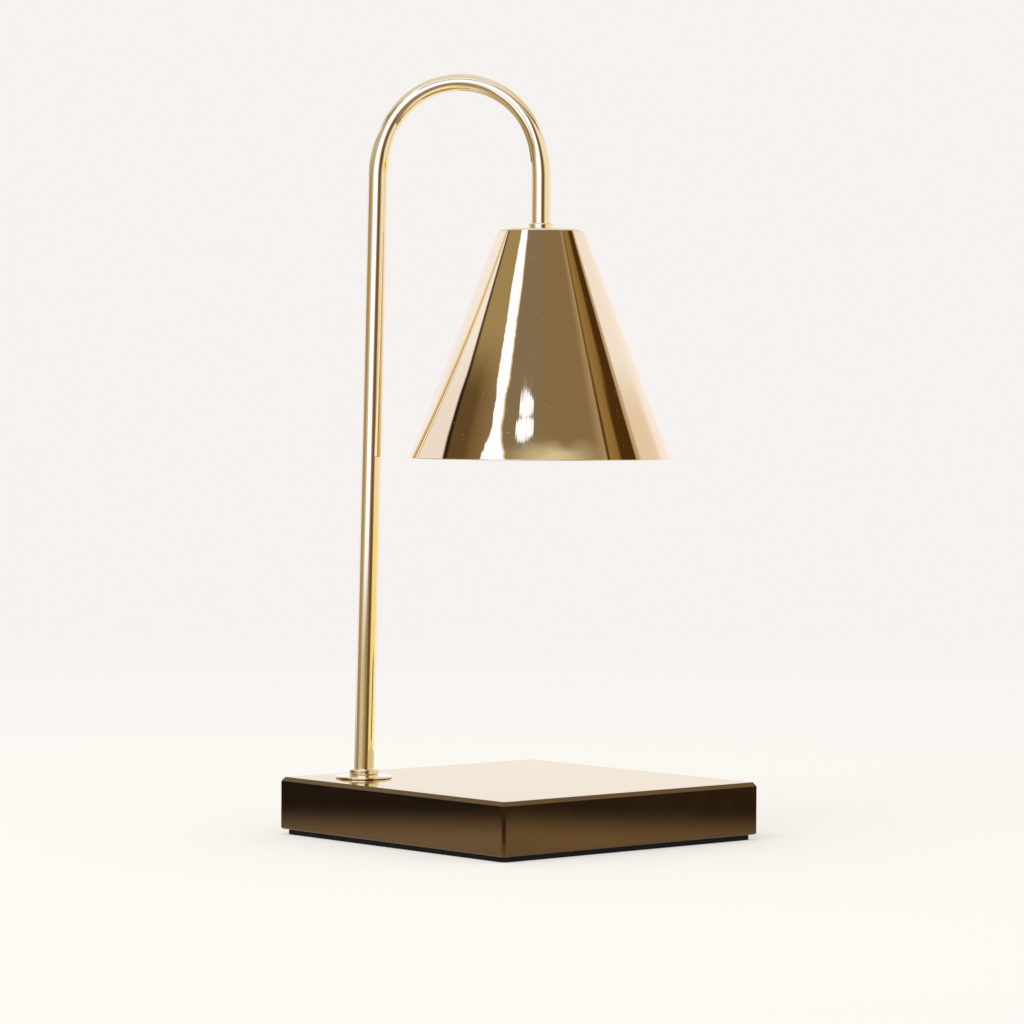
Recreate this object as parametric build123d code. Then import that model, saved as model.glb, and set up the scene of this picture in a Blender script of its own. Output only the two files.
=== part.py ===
"""Candle warmer lamp: stone base, bent tube, spun cone shade and a twist-lock reflector bulb.

Millimetres, +Z up. The origin is at the centre of the base on the table. The square slab stands as a
diamond, its corners on the X and Y axes. The pole stands near the -X corner, the cord enters through the
back-left side behind it, and the shade hangs on the +X side of the pole, over the candle's place.
"""

from build123d import *
import os
from math import cos, radians, sqrt, tan

# ---------------------------------------------------------------- driving dimensions
# Clearances, each measured on the radius or on the face
SEAT = 0.05  # between pieces that are brazed, screwed or clamped to each other
LOOSE = 0.3  # round bolts and leads in their holes, and round the bayonet pins
OVERRUN = 1.0  # how far a cutter runs past the face that it opens

# Base
SLAB_SIDE = 150.0
SLAB_THICKNESS = 23.0
SLAB_CORNER = 1.3  # flat cut on the four upright edges, measured along each side
SLAB_ARRIS = 1.7  # flat cut on the top edges
SLAB_LOWER_ARRIS = 0.6
POLE_INSET = 26.5  # pole's axis from each of the two nearest sides
POCKET_DIAMETER = 27.0
POCKET_DEPTH = 17.5
PAD_THICKNESS = 2.4
PAD_INSET = 2.2
PAD_CORNER = 3.0

# Bent tube
TUBE_DIAMETER = 9.0
TUBE_WALL = 1.2
POLE_LEAN = 1.05  # degrees, towards the shade
CROWN_RADIUS = 33.9
CROWN_TURN = 126.0  # degrees
SHOULDER_RADIUS = 53.5
SHOULDER_TURN = 25.0  # degrees, on the shade's side
DROP_LENGTH = 19.1  # straight length between the shade's collar and the crook

# Foot fittings
FLANGE_DIAMETER = 25.0
FLANGE_THICKNESS = 1.7  # under the collar
FLANGE_RIM = 1.0  # thickness at the outer edge
FLANGE_EDGE = 0.35  # rounding of the outer edge, above and below
FOOT_COLLAR_DIAMETER = 13.2
FOOT_COLLAR_HEIGHT = 2.4
FOOT_SHANK_DIAMETER = 10.0
FOOT_WASHER_DIAMETER = 22.0
FOOT_WASHER_THICKNESS = 1.2
FOOT_LOCK_DIAMETER = 17.0
FOOT_NUT_FLATS = 16.0
FOOT_NUT_HEIGHT = 3.5
LOCK_THICKNESS = 0.8
THREAD_PROUD = 0.9  # thread that shows past a tightened nut
SOCKET_DEPTH = 1.2  # how deep the tube's end sits in a ferrule's collar
SPIGOT_LENGTH = 8.0  # how far a ferrule's spigot reaches up inside the tube

# Shade and its fittings
RIM_CLEARANCE = 141.7  # slab's top to the shade's rim
SHADE_HEIGHT = 100.9
SHADE_RIM_DIAMETER = 117.4
SHADE_TOP_DIAMETER = 38.5
SHADE_SHEET = 0.8
SHADE_SHOULDER = 1.4  # outer radius between the flat top and the cone
TOP_COLLAR_DIAMETER = 11.4
TOP_COLLAR_HEIGHT = 2.8
TOP_SHANK_DIAMETER = 8.0
TOP_WASHER_DIAMETER = 18.0
TOP_WASHER_THICKNESS = 1.0
TOP_LOCK_DIAMETER = 13.5
TOP_NUT_FLATS = 13.0
TOP_NUT_HEIGHT = 4.0
COLLAR_EDGE = 0.7  # rounding of the plated rings

# Cord inlet and inner flex
FLEX_DIAMETER = 4.2
BUSHING_RADIUS = 4.2  # round top of the bushing's arched body
BUSHING_LENGTH = 11.0
BUSHING_FLANGE = 1.5  # the flange's thickness, and how far it stands out round the body
FLEX_EASE = 40.0  # bend radius where the flex passes from the ferrule into the leaning pole
FLEX_TAIL = 2.0  # sheath left past the shade ferrule's shank
LEAD_DIAMETER = 1.6
LEAD_BEND = 2.6
EARTH_LOOP = 4.2  # how far the earth lead hangs below the flex's end

# Lampholder
BRACKET_SHEET = 1.2
BRACKET_WIDTH = 12.0
BRACKET_DROP = 20.0  # clear height between the bracket's plate and its feet
BRACKET_BEND = 1.8  # bend radius on the sheet's middle
FOOT_LENGTH = 8.0  # length of the bracket's turned-in feet
HOLDER_DIAMETER = 30.0
CAP_HEIGHT = 6.0
BODY_HEIGHT = 14.0
FACE_THICKNESS = 3.2  # ceramic between the bulb and the contact pockets
POCKET_MARGIN = 0.7  # extra room round the pin heads for the contacts
HOLDER_EDGE = 1.0
SCREW_DIAMETER = 3.0
SCREW_HEAD_DIAMETER = 5.6
SCREW_HEAD_HEIGHT = 1.9
SCREW_HEAD_RECESS = 0.7
SCREW_SLOT = 0.8
SCREW_PITCH_RADIUS = 10.5
CONTACT_THICKNESS = 0.4
CONTACT_WIDTH = 3.6
TAG_RING_DIAMETER = 13.5
TAG_THICKNESS = 0.8
TAG_REACH = 12.0  # tube's axis to the tag's barrel
TAG_BARREL_DIAMETER = 3.4
TAG_BARREL_LENGTH = 6.0

# Bulb, a 50 mm reflector lamp with a twist-lock base of pins 10 mm apart
PIN_RADIUS = 5.0  # pin's axis from the bulb's axis
PIN_NECK_DIAMETER = 3.2
PIN_HEAD_DIAMETER = 5.0
PIN_HEAD_HEIGHT = 3.0
PIN_HEAD_CHAMFER = 0.5
PIN_ROOT = 4.0  # length pressed into the base
LOCK_ANGLE = 45.0  # degrees from the pins' entry to their locked place
BULB_DIAMETER = 50.0
BULB_LENGTH = 46.5  # without the pins
BULB_BASE_DIAMETER = 24.0
BULB_BASE_HEIGHT = 13.0
BULB_BASE_EDGE = 2.0
BULB_RIM_HEIGHT = 4.0
NECK_DIAMETER = 16.0
NECK_LENGTH = 7.0
BOWL_RADIUS = 41.0  # radius of the reflector's curve, in section
GLASS = 1.6  # the bowl's wall, and half of the neck's
LENS_THICKNESS = 2.0
LENS_DIAMETER = 45.6
CAPSULE_DIAMETER = 9.0
CAPSULE_LENGTH = 17.0
PINCH_THICKNESS = 3.4
PINCH_LENGTH = 8.0

# ---------------------------------------------------------------- places worked out from them
HALF_DIAGONAL = SLAB_SIDE / sqrt(2)
POLE_X = POLE_INSET * sqrt(2) - HALF_DIAGONAL
SLAB_TOP = PAD_THICKNESS + SLAB_THICKNESS
TUBE_BORE = TUBE_DIAMETER - 2 * TUBE_WALL
FERRULE_BORE = FLEX_DIAMETER + 2 * LOOSE
SHANK_BORE = FERRULE_BORE + 2 * LOOSE

FLANGE_TOP = SLAB_TOP + FLANGE_THICKNESS
FOOT_SEAT = FLANGE_TOP + FOOT_COLLAR_HEIGHT - SOCKET_DEPTH
POCKET_TOP = PAD_THICKNESS + POCKET_DEPTH
FOOT_LOCK_TOP = POCKET_TOP - FOOT_WASHER_THICKNESS
FOOT_NUT_TOP = FOOT_LOCK_TOP - LOCK_THICKNESS
FOOT_SHANK_END = FOOT_NUT_TOP - FOOT_NUT_HEIGHT - THREAD_PROUD
INLET_Z = PAD_THICKNESS + BUSHING_RADIUS

SHADE_RIM = SLAB_TOP + RIM_CLEARANCE
SHADE_TOP = SHADE_RIM + SHADE_HEIGHT
TOP_SEAT = SHADE_TOP + TOP_COLLAR_HEIGHT - SOCKET_DEPTH
CROOK_START = SHADE_TOP + TOP_COLLAR_HEIGHT + DROP_LENGTH
TOP_WASHER_TOP = SHADE_TOP - SHADE_SHEET
BRACKET_TOP = TOP_WASHER_TOP - TOP_WASHER_THICKNESS
TAG_TOP = BRACKET_TOP - BRACKET_SHEET
TOP_LOCK_TOP = TAG_TOP - TAG_THICKNESS
TOP_NUT_TOP = TOP_LOCK_TOP - LOCK_THICKNESS
TOP_SHANK_END = TOP_NUT_TOP - TOP_NUT_HEIGHT - THREAD_PROUD
FLEX_END = TOP_SHANK_END - FLEX_TAIL

CAP_TOP = TAG_TOP - BRACKET_DROP - BRACKET_SHEET
BODY_TOP = CAP_TOP - CAP_HEIGHT
HOLDER_FACE = BODY_TOP - BODY_HEIGHT
FACE_TOP = HOLDER_FACE + FACE_THICKNESS
BULB_TOP = HOLDER_FACE - LOOSE
BULB_FACE = BULB_TOP - BULB_LENGTH
PIN_HEAD_FOOT = FACE_TOP + LOOSE
PIN_TIP = PIN_HEAD_FOOT + PIN_HEAD_HEIGHT
LEAD_RADIUS = PIN_RADIUS + PIN_HEAD_DIAMETER / 2 - CONTACT_THICKNESS - LEAD_DIAMETER / 2
EARTH_ANGLE = LOCK_ANGLE - 90
NECK_BORE = NECK_DIAMETER - 4 * GLASS


# ---------------------------------------------------------------- helpers
def disc(diameter, top, thickness, hole=0.0):
    """A flat ring about Z, given by its top face."""
    ring = Pos(0, 0, top - thickness) * extrude(Circle(diameter / 2), thickness)
    if hole:
        ring -= drill(hole, top, thickness)
    return ring


def drill(diameter, top, depth):
    """A cutter for a hole through a layer of that top and depth, running past both of its faces."""
    return Pos(0, 0, top - depth - OVERRUN) * extrude(Circle(diameter / 2), depth + 2 * OVERRUN)


def turned(*profile):
    """A solid of revolution about Z from (radius, height) points."""
    return revolve(Plane.XZ * make_face(Polyline(*profile, close=True)), Axis.Z)


def rod(path, diameter):
    """A round section swept along a path."""
    start = Plane(origin=path @ 0, z_dir=path % 0)
    return sweep(start * Circle(diameter / 2), path)


def top_edges(part):
    """The highest edges of a part."""
    return part.edges().group_by(Axis.Z)[-1]


def lock_washer(diameter, bore, top):
    """Toothed lock washer: a flat ring with notches round its outside."""
    notch_count = 12
    notch_depth = diameter * 0.08
    notch_width = diameter * 0.1
    notch = Rectangle(2 * notch_depth, notch_width)
    face = Circle(diameter / 2) - Circle(bore / 2)
    face -= PolarLocations(diameter / 2, notch_count) * notch
    return Pos(0, 0, top - LOCK_THICKNESS) * extrude(face, LOCK_THICKNESS)


def hexagon_nut(flats, bore, top, height):
    """Hexagon nut with both faces chamfered towards the corners."""
    chamfer_slope = 0.3
    flat = flats / 2
    corner = flat / cos(radians(30)) + SEAT
    lift = (corner - flat) * chamfer_slope
    nut = extrude(RegularPolygon(flat, 6, major_radius=False), height)
    nut &= turned((0, 0), (flat, 0), (corner, lift), (corner, height - lift), (flat, height), (0, height))
    nut -= drill(bore, height, height)
    return Pos(0, 0, top - height) * nut


# ---------------------------------------------------------------- the arm's centreline
def crook():
    """Three tangent arcs in the XY plane, from the drop leg's top over the crown to the pole's top."""
    back_turn = 180 - POLE_LEAN - SHOULDER_TURN - CROWN_TURN
    front = JernArc((0, 0), (0, 1), SHOULDER_RADIUS, SHOULDER_TURN)
    crown = JernArc(front @ 1, front % 1, CROWN_RADIUS, CROWN_TURN)
    back = JernArc(crown @ 1, crown % 1, SHOULDER_RADIUS, back_turn)
    return [front, crown, back]


CROOK_ARCS = crook()
CROOK_END = CROOK_ARCS[-1] @ 1  # pole's top, measured from the drop leg's top
CROOK_END_Z = CROOK_START + CROOK_END.Y
POLE_TOP_X = POLE_X + (CROOK_END_Z - FOOT_SEAT) * tan(radians(POLE_LEAN))
SHADE_X = POLE_TOP_X - CROOK_END.X
POLE_TOP = Vector(POLE_TOP_X, 0, CROOK_END_Z)
POLE_FOOT = Vector(POLE_X, 0, FOOT_SEAT)
DROP_FOOT = Vector(SHADE_X, 0, TOP_SEAT)
DROP_TOP = Vector(SHADE_X, 0, CROOK_START)

ARM_PLANE = Plane(origin=(SHADE_X, 0, CROOK_START), x_dir=(1, 0, 0), z_dir=(0, -1, 0))
AT_POLE = Pos(POLE_X, 0, 0)
AT_SHADE = Pos(SHADE_X, 0, 0)
# The inlet's frame: x runs from the pole square to the back-left side of the slab, z is up
INLET = Pos(POLE_X, 0, 0) * Rot(0, 0, 135)


def crook_edges():
    """The crook in its real place."""
    return [ARM_PLANE * arc for arc in CROOK_ARCS]


# ---------------------------------------------------------------- base
def arch(radius, margin=0.0):
    """Arched section on the pad: straight sides, round top, flat foot, seen along the inlet."""
    size = radius + margin
    lower = Pos(0, -radius / 2) * Rectangle(2 * size, radius)
    return Circle(size) + lower


def inlet_block(section, start, end):
    """An inlet section drawn out from one distance to another from the pole's axis."""
    plane = Plane(origin=(start, 0, INLET_Z), x_dir=(0, 1, 0), z_dir=(1, 0, 0))
    return INLET * extrude(plane * section, end - start)


def clip_above_pad(part):
    """Cuts away what would reach below the slab's underside."""
    size = 2 * SLAB_SIDE
    return part - Pos(0, 0, PAD_THICKNESS - size / 2) * Box(size, size, size)


def base_slab():
    """Stone slab: drilled for the shank, counterbored for the nut, channelled for the cord."""
    slab = extrude(Rectangle(SLAB_SIDE, SLAB_SIDE), SLAB_THICKNESS)
    slab = chamfer(slab.edges().filter_by(Axis.Z), SLAB_CORNER)
    slab = chamfer(top_edges(slab), SLAB_ARRIS)
    slab = chamfer(slab.edges().group_by(Axis.Z)[0], SLAB_LOWER_ARRIS)
    slab = Pos(0, 0, PAD_THICKNESS) * Rot(0, 0, 45) * slab
    slab -= AT_POLE * drill(FOOT_SHANK_DIAMETER + 2 * LOOSE, SLAB_TOP, SLAB_THICKNESS)
    slab -= AT_POLE * disc(POCKET_DIAMETER, POCKET_TOP, POCKET_DEPTH + OVERRUN)
    slab -= inlet_block(arch(BUSHING_RADIUS, SEAT), 0, POLE_INSET + OVERRUN)
    return slab


def base_pad():
    """Thin pad under the slab, set back from its sides."""
    side = SLAB_SIDE - 2 * PAD_INSET
    return Rot(0, 0, 45) * extrude(RectangleRounded(side, side, PAD_CORNER), PAD_THICKNESS)


def cord_bushing():
    """Arched bushing for the cord, its flange outside on the slab's side."""
    body = inlet_block(arch(BUSHING_RADIUS), POLE_INSET - BUSHING_LENGTH, POLE_INSET)
    flange = inlet_block(arch(BUSHING_RADIUS + BUSHING_FLANGE), POLE_INSET, POLE_INSET + BUSHING_FLANGE)
    bushing = clip_above_pad(body + flange)
    bore = Circle(FLEX_DIAMETER / 2 + LOOSE)
    return bushing - inlet_block(bore, POLE_INSET - 2 * BUSHING_LENGTH, POLE_INSET + 2 * BUSHING_FLANGE)


# ---------------------------------------------------------------- foot fittings
def foot_flange():
    """Thin plated disc on the slab, coned up to the collar, its outer edge rounded over."""
    edge = FLANGE_DIAMETER / 2
    collar = FOOT_COLLAR_DIAMETER / 2
    rim_top = SLAB_TOP + FLANGE_RIM
    flange = turned((0, SLAB_TOP), (edge, SLAB_TOP), (edge, rim_top), (collar, FLANGE_TOP), (0, FLANGE_TOP))
    outer_edges = flange.edges().filter_by(GeomType.CIRCLE).group_by(SortBy.RADIUS)[-1]
    flange = fillet(outer_edges, FLANGE_EDGE)
    return AT_POLE * (flange - drill(FOOT_SHANK_DIAMETER + 2 * LOOSE, FLANGE_TOP, FLANGE_THICKNESS))


def ferrule(foot, shank_end, shank_diameter, collar_diameter, collar_height, tube_end, tube_run):
    """Turned ferrule under a tube's end: plated collar, threaded hollow shank below it and a spigot above
    it inside the tube. The collar's socket and the spigot follow the tube's own direction."""
    collar_top = foot.Z + collar_height
    axis = Pos(foot.X, 0, 0)
    collar = fillet(disc(collar_diameter, collar_top, collar_height).edges(), COLLAR_EDGE)
    shank_top = foot.Z + collar_height / 2
    turned_part = axis * (collar + disc(shank_diameter, shank_top, shank_top - shank_end))
    seat = Plane(origin=tube_end, z_dir=tube_run)
    turned_part -= extrude(seat * Circle(TUBE_DIAMETER / 2 + SEAT), 2 * collar_height)
    turned_part += extrude(seat * Circle(TUBE_BORE / 2 - SEAT), SPIGOT_LENGTH)
    turned_part -= extrude(seat * Circle(FERRULE_BORE / 2), 2 * SPIGOT_LENGTH, both=True)
    shank_bore_top = tube_end.Z - SOCKET_DEPTH
    return turned_part - axis * disc(SHANK_BORE, shank_bore_top, shank_bore_top - shank_end + OVERRUN)


def foot_ferrule():
    """Ferrule at the pole's foot, its shank going down through the slab."""
    foot = Vector(POLE_X, 0, FLANGE_TOP)
    return ferrule(
        foot, FOOT_SHANK_END, FOOT_SHANK_DIAMETER, FOOT_COLLAR_DIAMETER, FOOT_COLLAR_HEIGHT,
        POLE_FOOT, POLE_TOP - POLE_FOOT,
    )


def foot_washer():
    hole = FOOT_SHANK_DIAMETER + 2 * LOOSE
    return AT_POLE * disc(FOOT_WASHER_DIAMETER, POCKET_TOP, FOOT_WASHER_THICKNESS, hole)


def foot_lock_washer():
    return AT_POLE * lock_washer(FOOT_LOCK_DIAMETER, FOOT_SHANK_DIAMETER + 2 * LOOSE, FOOT_LOCK_TOP)


def foot_nut():
    bore = FOOT_SHANK_DIAMETER + 2 * SEAT
    return AT_POLE * hexagon_nut(FOOT_NUT_FLATS, bore, FOOT_NUT_TOP, FOOT_NUT_HEIGHT)


# ---------------------------------------------------------------- arm
def pole_tube():
    """One bent tube: the pole, the crook and the drop leg, cut square at both ends."""
    path = Wire([Line(DROP_FOOT, DROP_TOP), *crook_edges(), Line(POLE_TOP, POLE_FOOT)])
    return rod(path, TUBE_DIAMETER) - rod(path, TUBE_BORE)


def inner_flex():
    """Flex held all the way: from the bushing into the pocket, up the pole and down to the shade."""
    inlet = INLET * Pos(POLE_INSET - BUSHING_LENGTH - LOOSE, 0, INLET_Z)
    corner = Vector(POLE_X, 0, INLET_Z)
    bend = FOOT_SHANK_END - INLET_Z
    rise = FilletPolyline(inlet.position, corner, POLE_FOOT, POLE_TOP, radius=[bend, FLEX_EASE])
    drop = Line(DROP_TOP, Vector(SHADE_X, 0, FLEX_END))
    path = Wire([*rise.edges(), *crook_edges(), drop])
    return rod(path, FLEX_DIAMETER)


# ---------------------------------------------------------------- shade and its clamp
def shade_ferrule():
    """Ferrule at the drop leg's end, its shank going down through the shade's top."""
    foot = Vector(SHADE_X, 0, SHADE_TOP)
    return ferrule(
        foot, TOP_SHANK_END, TOP_SHANK_DIAMETER, TOP_COLLAR_DIAMETER, TOP_COLLAR_HEIGHT,
        DROP_FOOT, DROP_TOP - DROP_FOOT,
    )


def shade_profile():
    """The cone's outer line: centre of the top, rounded shoulder, rim."""
    rim = (SHADE_RIM_DIAMETER / 2, SHADE_RIM)
    corner = (SHADE_TOP_DIAMETER / 2, SHADE_TOP)
    return FilletPolyline((0, SHADE_TOP), corner, rim, radius=SHADE_SHOULDER)


def shade_cone():
    """Spun sheet cone with a flat top, a round shoulder and a plain rim."""
    outer = shade_profile()
    inner = outer.offset_2d(SHADE_SHEET, side=Side.RIGHT, closed=False)
    centre = Line(outer @ 0, inner @ 0)
    rim = Line(outer @ 1, inner @ 1)
    section = make_face([*outer.edges(), *inner.edges(), centre, rim])
    cone = revolve(Plane.XZ * section, Axis.Z)
    cone -= disc(2 * SHADE_RIM_DIAMETER, SHADE_RIM, SHADE_SHEET)
    hole = drill(TOP_SHANK_DIAMETER + 2 * LOOSE, SHADE_TOP, SHADE_SHEET)
    return AT_SHADE * (cone - hole)


def shade_washer():
    hole = TOP_SHANK_DIAMETER + 2 * LOOSE
    return AT_SHADE * disc(TOP_WASHER_DIAMETER, TOP_WASHER_TOP, TOP_WASHER_THICKNESS, hole)


def shade_lock_washer():
    return AT_SHADE * lock_washer(TOP_LOCK_DIAMETER, TOP_SHANK_DIAMETER + 2 * LOOSE, TOP_LOCK_TOP)


def shade_nut():
    bore = TOP_SHANK_DIAMETER + 2 * SEAT
    return AT_SHADE * hexagon_nut(TOP_NUT_FLATS, bore, TOP_NUT_TOP, TOP_NUT_HEIGHT)


def earth_tag():
    """Ring tag with a tongue and a crimp barrel that points down."""
    ring = Circle(TAG_RING_DIAMETER / 2)
    tongue = Pos(TAG_REACH / 2, 0) * Rectangle(TAG_REACH, TAG_BARREL_DIAMETER)
    plate = ring + tongue + Pos(TAG_REACH, 0) * Circle(TAG_BARREL_DIAMETER / 2)
    plate -= Circle(TOP_SHANK_DIAMETER / 2 + LOOSE)
    tag = Pos(0, 0, TAG_TOP - TAG_THICKNESS) * extrude(plate, TAG_THICKNESS)
    barrel = disc(TAG_BARREL_DIAMETER, TAG_TOP, TAG_BARREL_LENGTH)
    barrel -= disc(LEAD_DIAMETER + 2 * SEAT, TAG_TOP - TAG_THICKNESS, TAG_BARREL_LENGTH)
    tag += Pos(TAG_REACH, 0, 0) * barrel
    return AT_SHADE * Rot(0, 0, EARTH_ANGLE) * tag


# ---------------------------------------------------------------- lampholder
def screw_places():
    """The two holder screws, one on each side of the bulb's axis."""
    return PolarLocations(SCREW_PITCH_RADIUS, 2, start_angle=90)


def holder_bracket():
    """Bent strap: a plate under the shade's washer, two legs and two turned-in feet on the cap."""
    half = HOLDER_DIAMETER / 2 - BRACKET_SHEET / 2
    plate = BRACKET_TOP - BRACKET_SHEET / 2
    foot = CAP_TOP + BRACKET_SHEET / 2
    inner = half + BRACKET_SHEET / 2 - FOOT_LENGTH
    corners = [(-inner, foot), (-half, foot), (-half, plate), (half, plate), (half, foot), (inner, foot)]
    strap = trace(FilletPolyline(*corners, radius=BRACKET_BEND), BRACKET_SHEET)
    bracket = extrude(Plane.YZ * strap, BRACKET_WIDTH / 2, both=True)
    bracket -= drill(TOP_SHANK_DIAMETER + 2 * LOOSE, BRACKET_TOP, BRACKET_SHEET)
    for place in screw_places():
        bracket -= place * drill(SCREW_DIAMETER + 2 * SEAT, CAP_TOP + BRACKET_SHEET, BRACKET_SHEET)
    return AT_SHADE * bracket


def pin_slots(width):
    """Two arc slots that the pins turn in, from their entry at 0 degrees to the locked place."""
    slot = SlotArc(CenterArc((0, 0), PIN_RADIUS, 0, LOCK_ANGLE), width)
    return [slot, Rot(0, 0, 180) * slot]


def holder_body():
    """Ceramic lampholder body: keyhole slots in its face, a contact pocket behind each."""
    body = disc(HOLDER_DIAMETER, BODY_TOP, BODY_HEIGHT)
    body = fillet(body.edges().group_by(Axis.Z)[0], HOLDER_EDGE)
    head_width = PIN_HEAD_DIAMETER + 2 * LOOSE
    for pocket in pin_slots(head_width + 2 * POCKET_MARGIN):
        body -= Pos(0, 0, FACE_TOP) * extrude(pocket, BODY_HEIGHT)
    for slot in pin_slots(PIN_NECK_DIAMETER + 2 * LOOSE):
        body -= Pos(0, 0, HOLDER_FACE - OVERRUN) * extrude(slot, BODY_HEIGHT)
    for entry in PolarLocations(PIN_RADIUS, 2):
        body -= entry * drill(head_width, BODY_TOP, BODY_HEIGHT)
    for place in screw_places():
        body -= place * drill(SCREW_DIAMETER + 2 * LOOSE, BODY_TOP, BODY_HEIGHT)
        sink = SCREW_HEAD_RECESS + SCREW_HEAD_HEIGHT
        body -= place * disc(SCREW_HEAD_DIAMETER + 2 * LOOSE, HOLDER_FACE + sink, sink + OVERRUN)
    return AT_SHADE * body


def holder_cap():
    """Ceramic cap over the pockets, with a hole for each lead and each screw."""
    cap = disc(HOLDER_DIAMETER, CAP_TOP, CAP_HEIGHT)
    cap = fillet(top_edges(cap), HOLDER_EDGE)
    for place in screw_places():
        cap -= place * drill(SCREW_DIAMETER + 2 * LOOSE, CAP_TOP, CAP_HEIGHT)
    for place in PolarLocations(LEAD_RADIUS, 2, start_angle=LOCK_ANGLE):
        cap -= place * drill(LEAD_DIAMETER + 2 * LOOSE, CAP_TOP, CAP_HEIGHT)
    return AT_SHADE * cap


def holder_contacts():
    """Two bent spring strips, each with its leaf over a locked pin and its leg up the pocket's wall."""
    leg_outer = PIN_RADIUS + PIN_HEAD_DIAMETER / 2
    leaf = PIN_TIP + LOOSE
    profile = Polyline(
        (PIN_RADIUS - PIN_HEAD_DIAMETER / 4, leaf),
        (leg_outer, leaf),
        (leg_outer, BODY_TOP - LOOSE),
        (leg_outer - CONTACT_THICKNESS, BODY_TOP - LOOSE),
        (leg_outer - CONTACT_THICKNESS, leaf + CONTACT_THICKNESS),
        (PIN_RADIUS - PIN_HEAD_DIAMETER / 4, leaf + CONTACT_THICKNESS),
        close=True,
    )
    contact = extrude(Plane.XZ * make_face(profile), CONTACT_WIDTH / 2, both=True)
    return AT_SHADE * (Part() + [Rot(0, 0, LOCK_ANGLE + turn) * contact for turn in (0, 180)])


def holder_screws():
    """Two long screws, heads sunk in the holder's face, threaded into the bracket's feet."""
    head_foot = HOLDER_FACE + SCREW_HEAD_RECESS
    head_top = head_foot + SCREW_HEAD_HEIGHT
    tip = CAP_TOP + BRACKET_SHEET + THREAD_PROUD
    head = disc(SCREW_HEAD_DIAMETER, head_top, SCREW_HEAD_HEIGHT)
    head = fillet(head.edges().group_by(Axis.Z)[0], SCREW_HEAD_HEIGHT / 2)
    head -= Pos(0, 0, head_foot) * Box(SCREW_HEAD_DIAMETER, SCREW_SLOT, SCREW_HEAD_HEIGHT)
    screw = head + disc(SCREW_DIAMETER, tip, tip - head_top)
    return AT_SHADE * (Part() + [place * screw for place in screw_places()])


# ---------------------------------------------------------------- leads
def contact_lead(angle):
    """A sleeved lead from the flex's end down through the cap to a contact's leg."""
    start = LEAD_DIAMETER / 2 + SEAT
    fan_top = FLEX_END - LEAD_BEND
    fan_foot = CAP_TOP + LEAD_BEND
    route = FilletPolyline(
        (start, 0, FLEX_END),
        (start, 0, fan_top),
        (LEAD_RADIUS, 0, fan_foot),
        (LEAD_RADIUS, 0, BODY_TOP - LEAD_BEND),
        radius=LEAD_BEND,
    )
    return AT_SHADE * Rot(0, 0, angle) * rod(route, LEAD_DIAMETER)


def live_lead():
    return contact_lead(LOCK_ANGLE)


def neutral_lead():
    return contact_lead(LOCK_ANGLE + 180)


def earth_lead():
    """The earth core, beside the other two in the flex, then looped up into the tag's barrel."""
    start = (LEAD_DIAMETER + SEAT) * cos(radians(30))
    loop_foot = FLEX_END - EARTH_LOOP
    route = FilletPolyline(
        (start, 0, FLEX_END),
        (start, 0, loop_foot),
        (TAG_REACH, 0, loop_foot),
        (TAG_REACH, 0, TAG_TOP - TAG_THICKNESS - SEAT),
        radius=LEAD_BEND,
    )
    return AT_SHADE * Rot(0, 0, EARTH_ANGLE) * rod(route, LEAD_DIAMETER)


# ---------------------------------------------------------------- bulb
def bulb_base():
    """Ceramic base: round block with the pins' holes above and the reflector's neck below."""
    base = disc(BULB_BASE_DIAMETER, BULB_TOP, BULB_BASE_HEIGHT)
    base = fillet(top_edges(base), BULB_BASE_EDGE)
    neck_top = BULB_TOP - BULB_BASE_HEIGHT + NECK_LENGTH + SEAT
    base -= disc(NECK_DIAMETER + 2 * SEAT, neck_top, 2 * NECK_LENGTH)
    for place in PolarLocations(PIN_RADIUS, 2, start_angle=LOCK_ANGLE):
        base -= place * disc(PIN_NECK_DIAMETER + 2 * SEAT, BULB_TOP + OVERRUN, PIN_ROOT + OVERRUN)
    return AT_SHADE * base


def bulb_pins():
    """Two turned pins with wide heads, pressed into the base."""
    pin = disc(PIN_NECK_DIAMETER, PIN_HEAD_FOOT, PIN_HEAD_FOOT - BULB_TOP + PIN_ROOT)
    head = disc(PIN_HEAD_DIAMETER, PIN_TIP, PIN_HEAD_HEIGHT)
    pin += chamfer(top_edges(head), PIN_HEAD_CHAMFER)
    places = PolarLocations(PIN_RADIUS, 2, start_angle=LOCK_ANGLE)
    return AT_SHADE * (Part() + [place * pin for place in places])


def bulb_reflector():
    """Glass reflector: straight neck, flared bowl, cylindrical rim with a rebate for the lens."""
    neck_top = BULB_TOP - BULB_BASE_HEIGHT + NECK_LENGTH
    shoulder = BULB_TOP - BULB_BASE_HEIGHT
    neck = NECK_DIAMETER / 2
    bowl_top = BULB_BASE_DIAMETER / 2
    rim = BULB_DIAMETER / 2
    rim_top = BULB_FACE + BULB_RIM_HEIGHT
    mouth = LENS_DIAMETER / 2 + SEAT
    lens_seat = BULB_FACE + LENS_THICKNESS
    throat = shoulder - GLASS
    bore = NECK_BORE / 2
    outer = Polyline((bore, neck_top), (neck, neck_top), (neck, shoulder), (bowl_top, shoulder))
    bowl = RadiusArc((bowl_top, shoulder), (rim - GLASS / 2, rim_top), -BOWL_RADIUS)
    edge = Polyline(
        (rim - GLASS / 2, rim_top), (rim, rim_top), (rim, BULB_FACE), (mouth, BULB_FACE),
        (mouth, lens_seat), (mouth - GLASS, lens_seat),
    )
    inner = RadiusArc((mouth - GLASS, lens_seat), (bore, throat), BOWL_RADIUS)
    throat_line = Line((bore, throat), (bore, neck_top))
    section = make_face([*outer.edges(), bowl, *edge.edges(), inner, throat_line])
    return AT_SHADE * revolve(Plane.XZ * section, Axis.Z)


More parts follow.
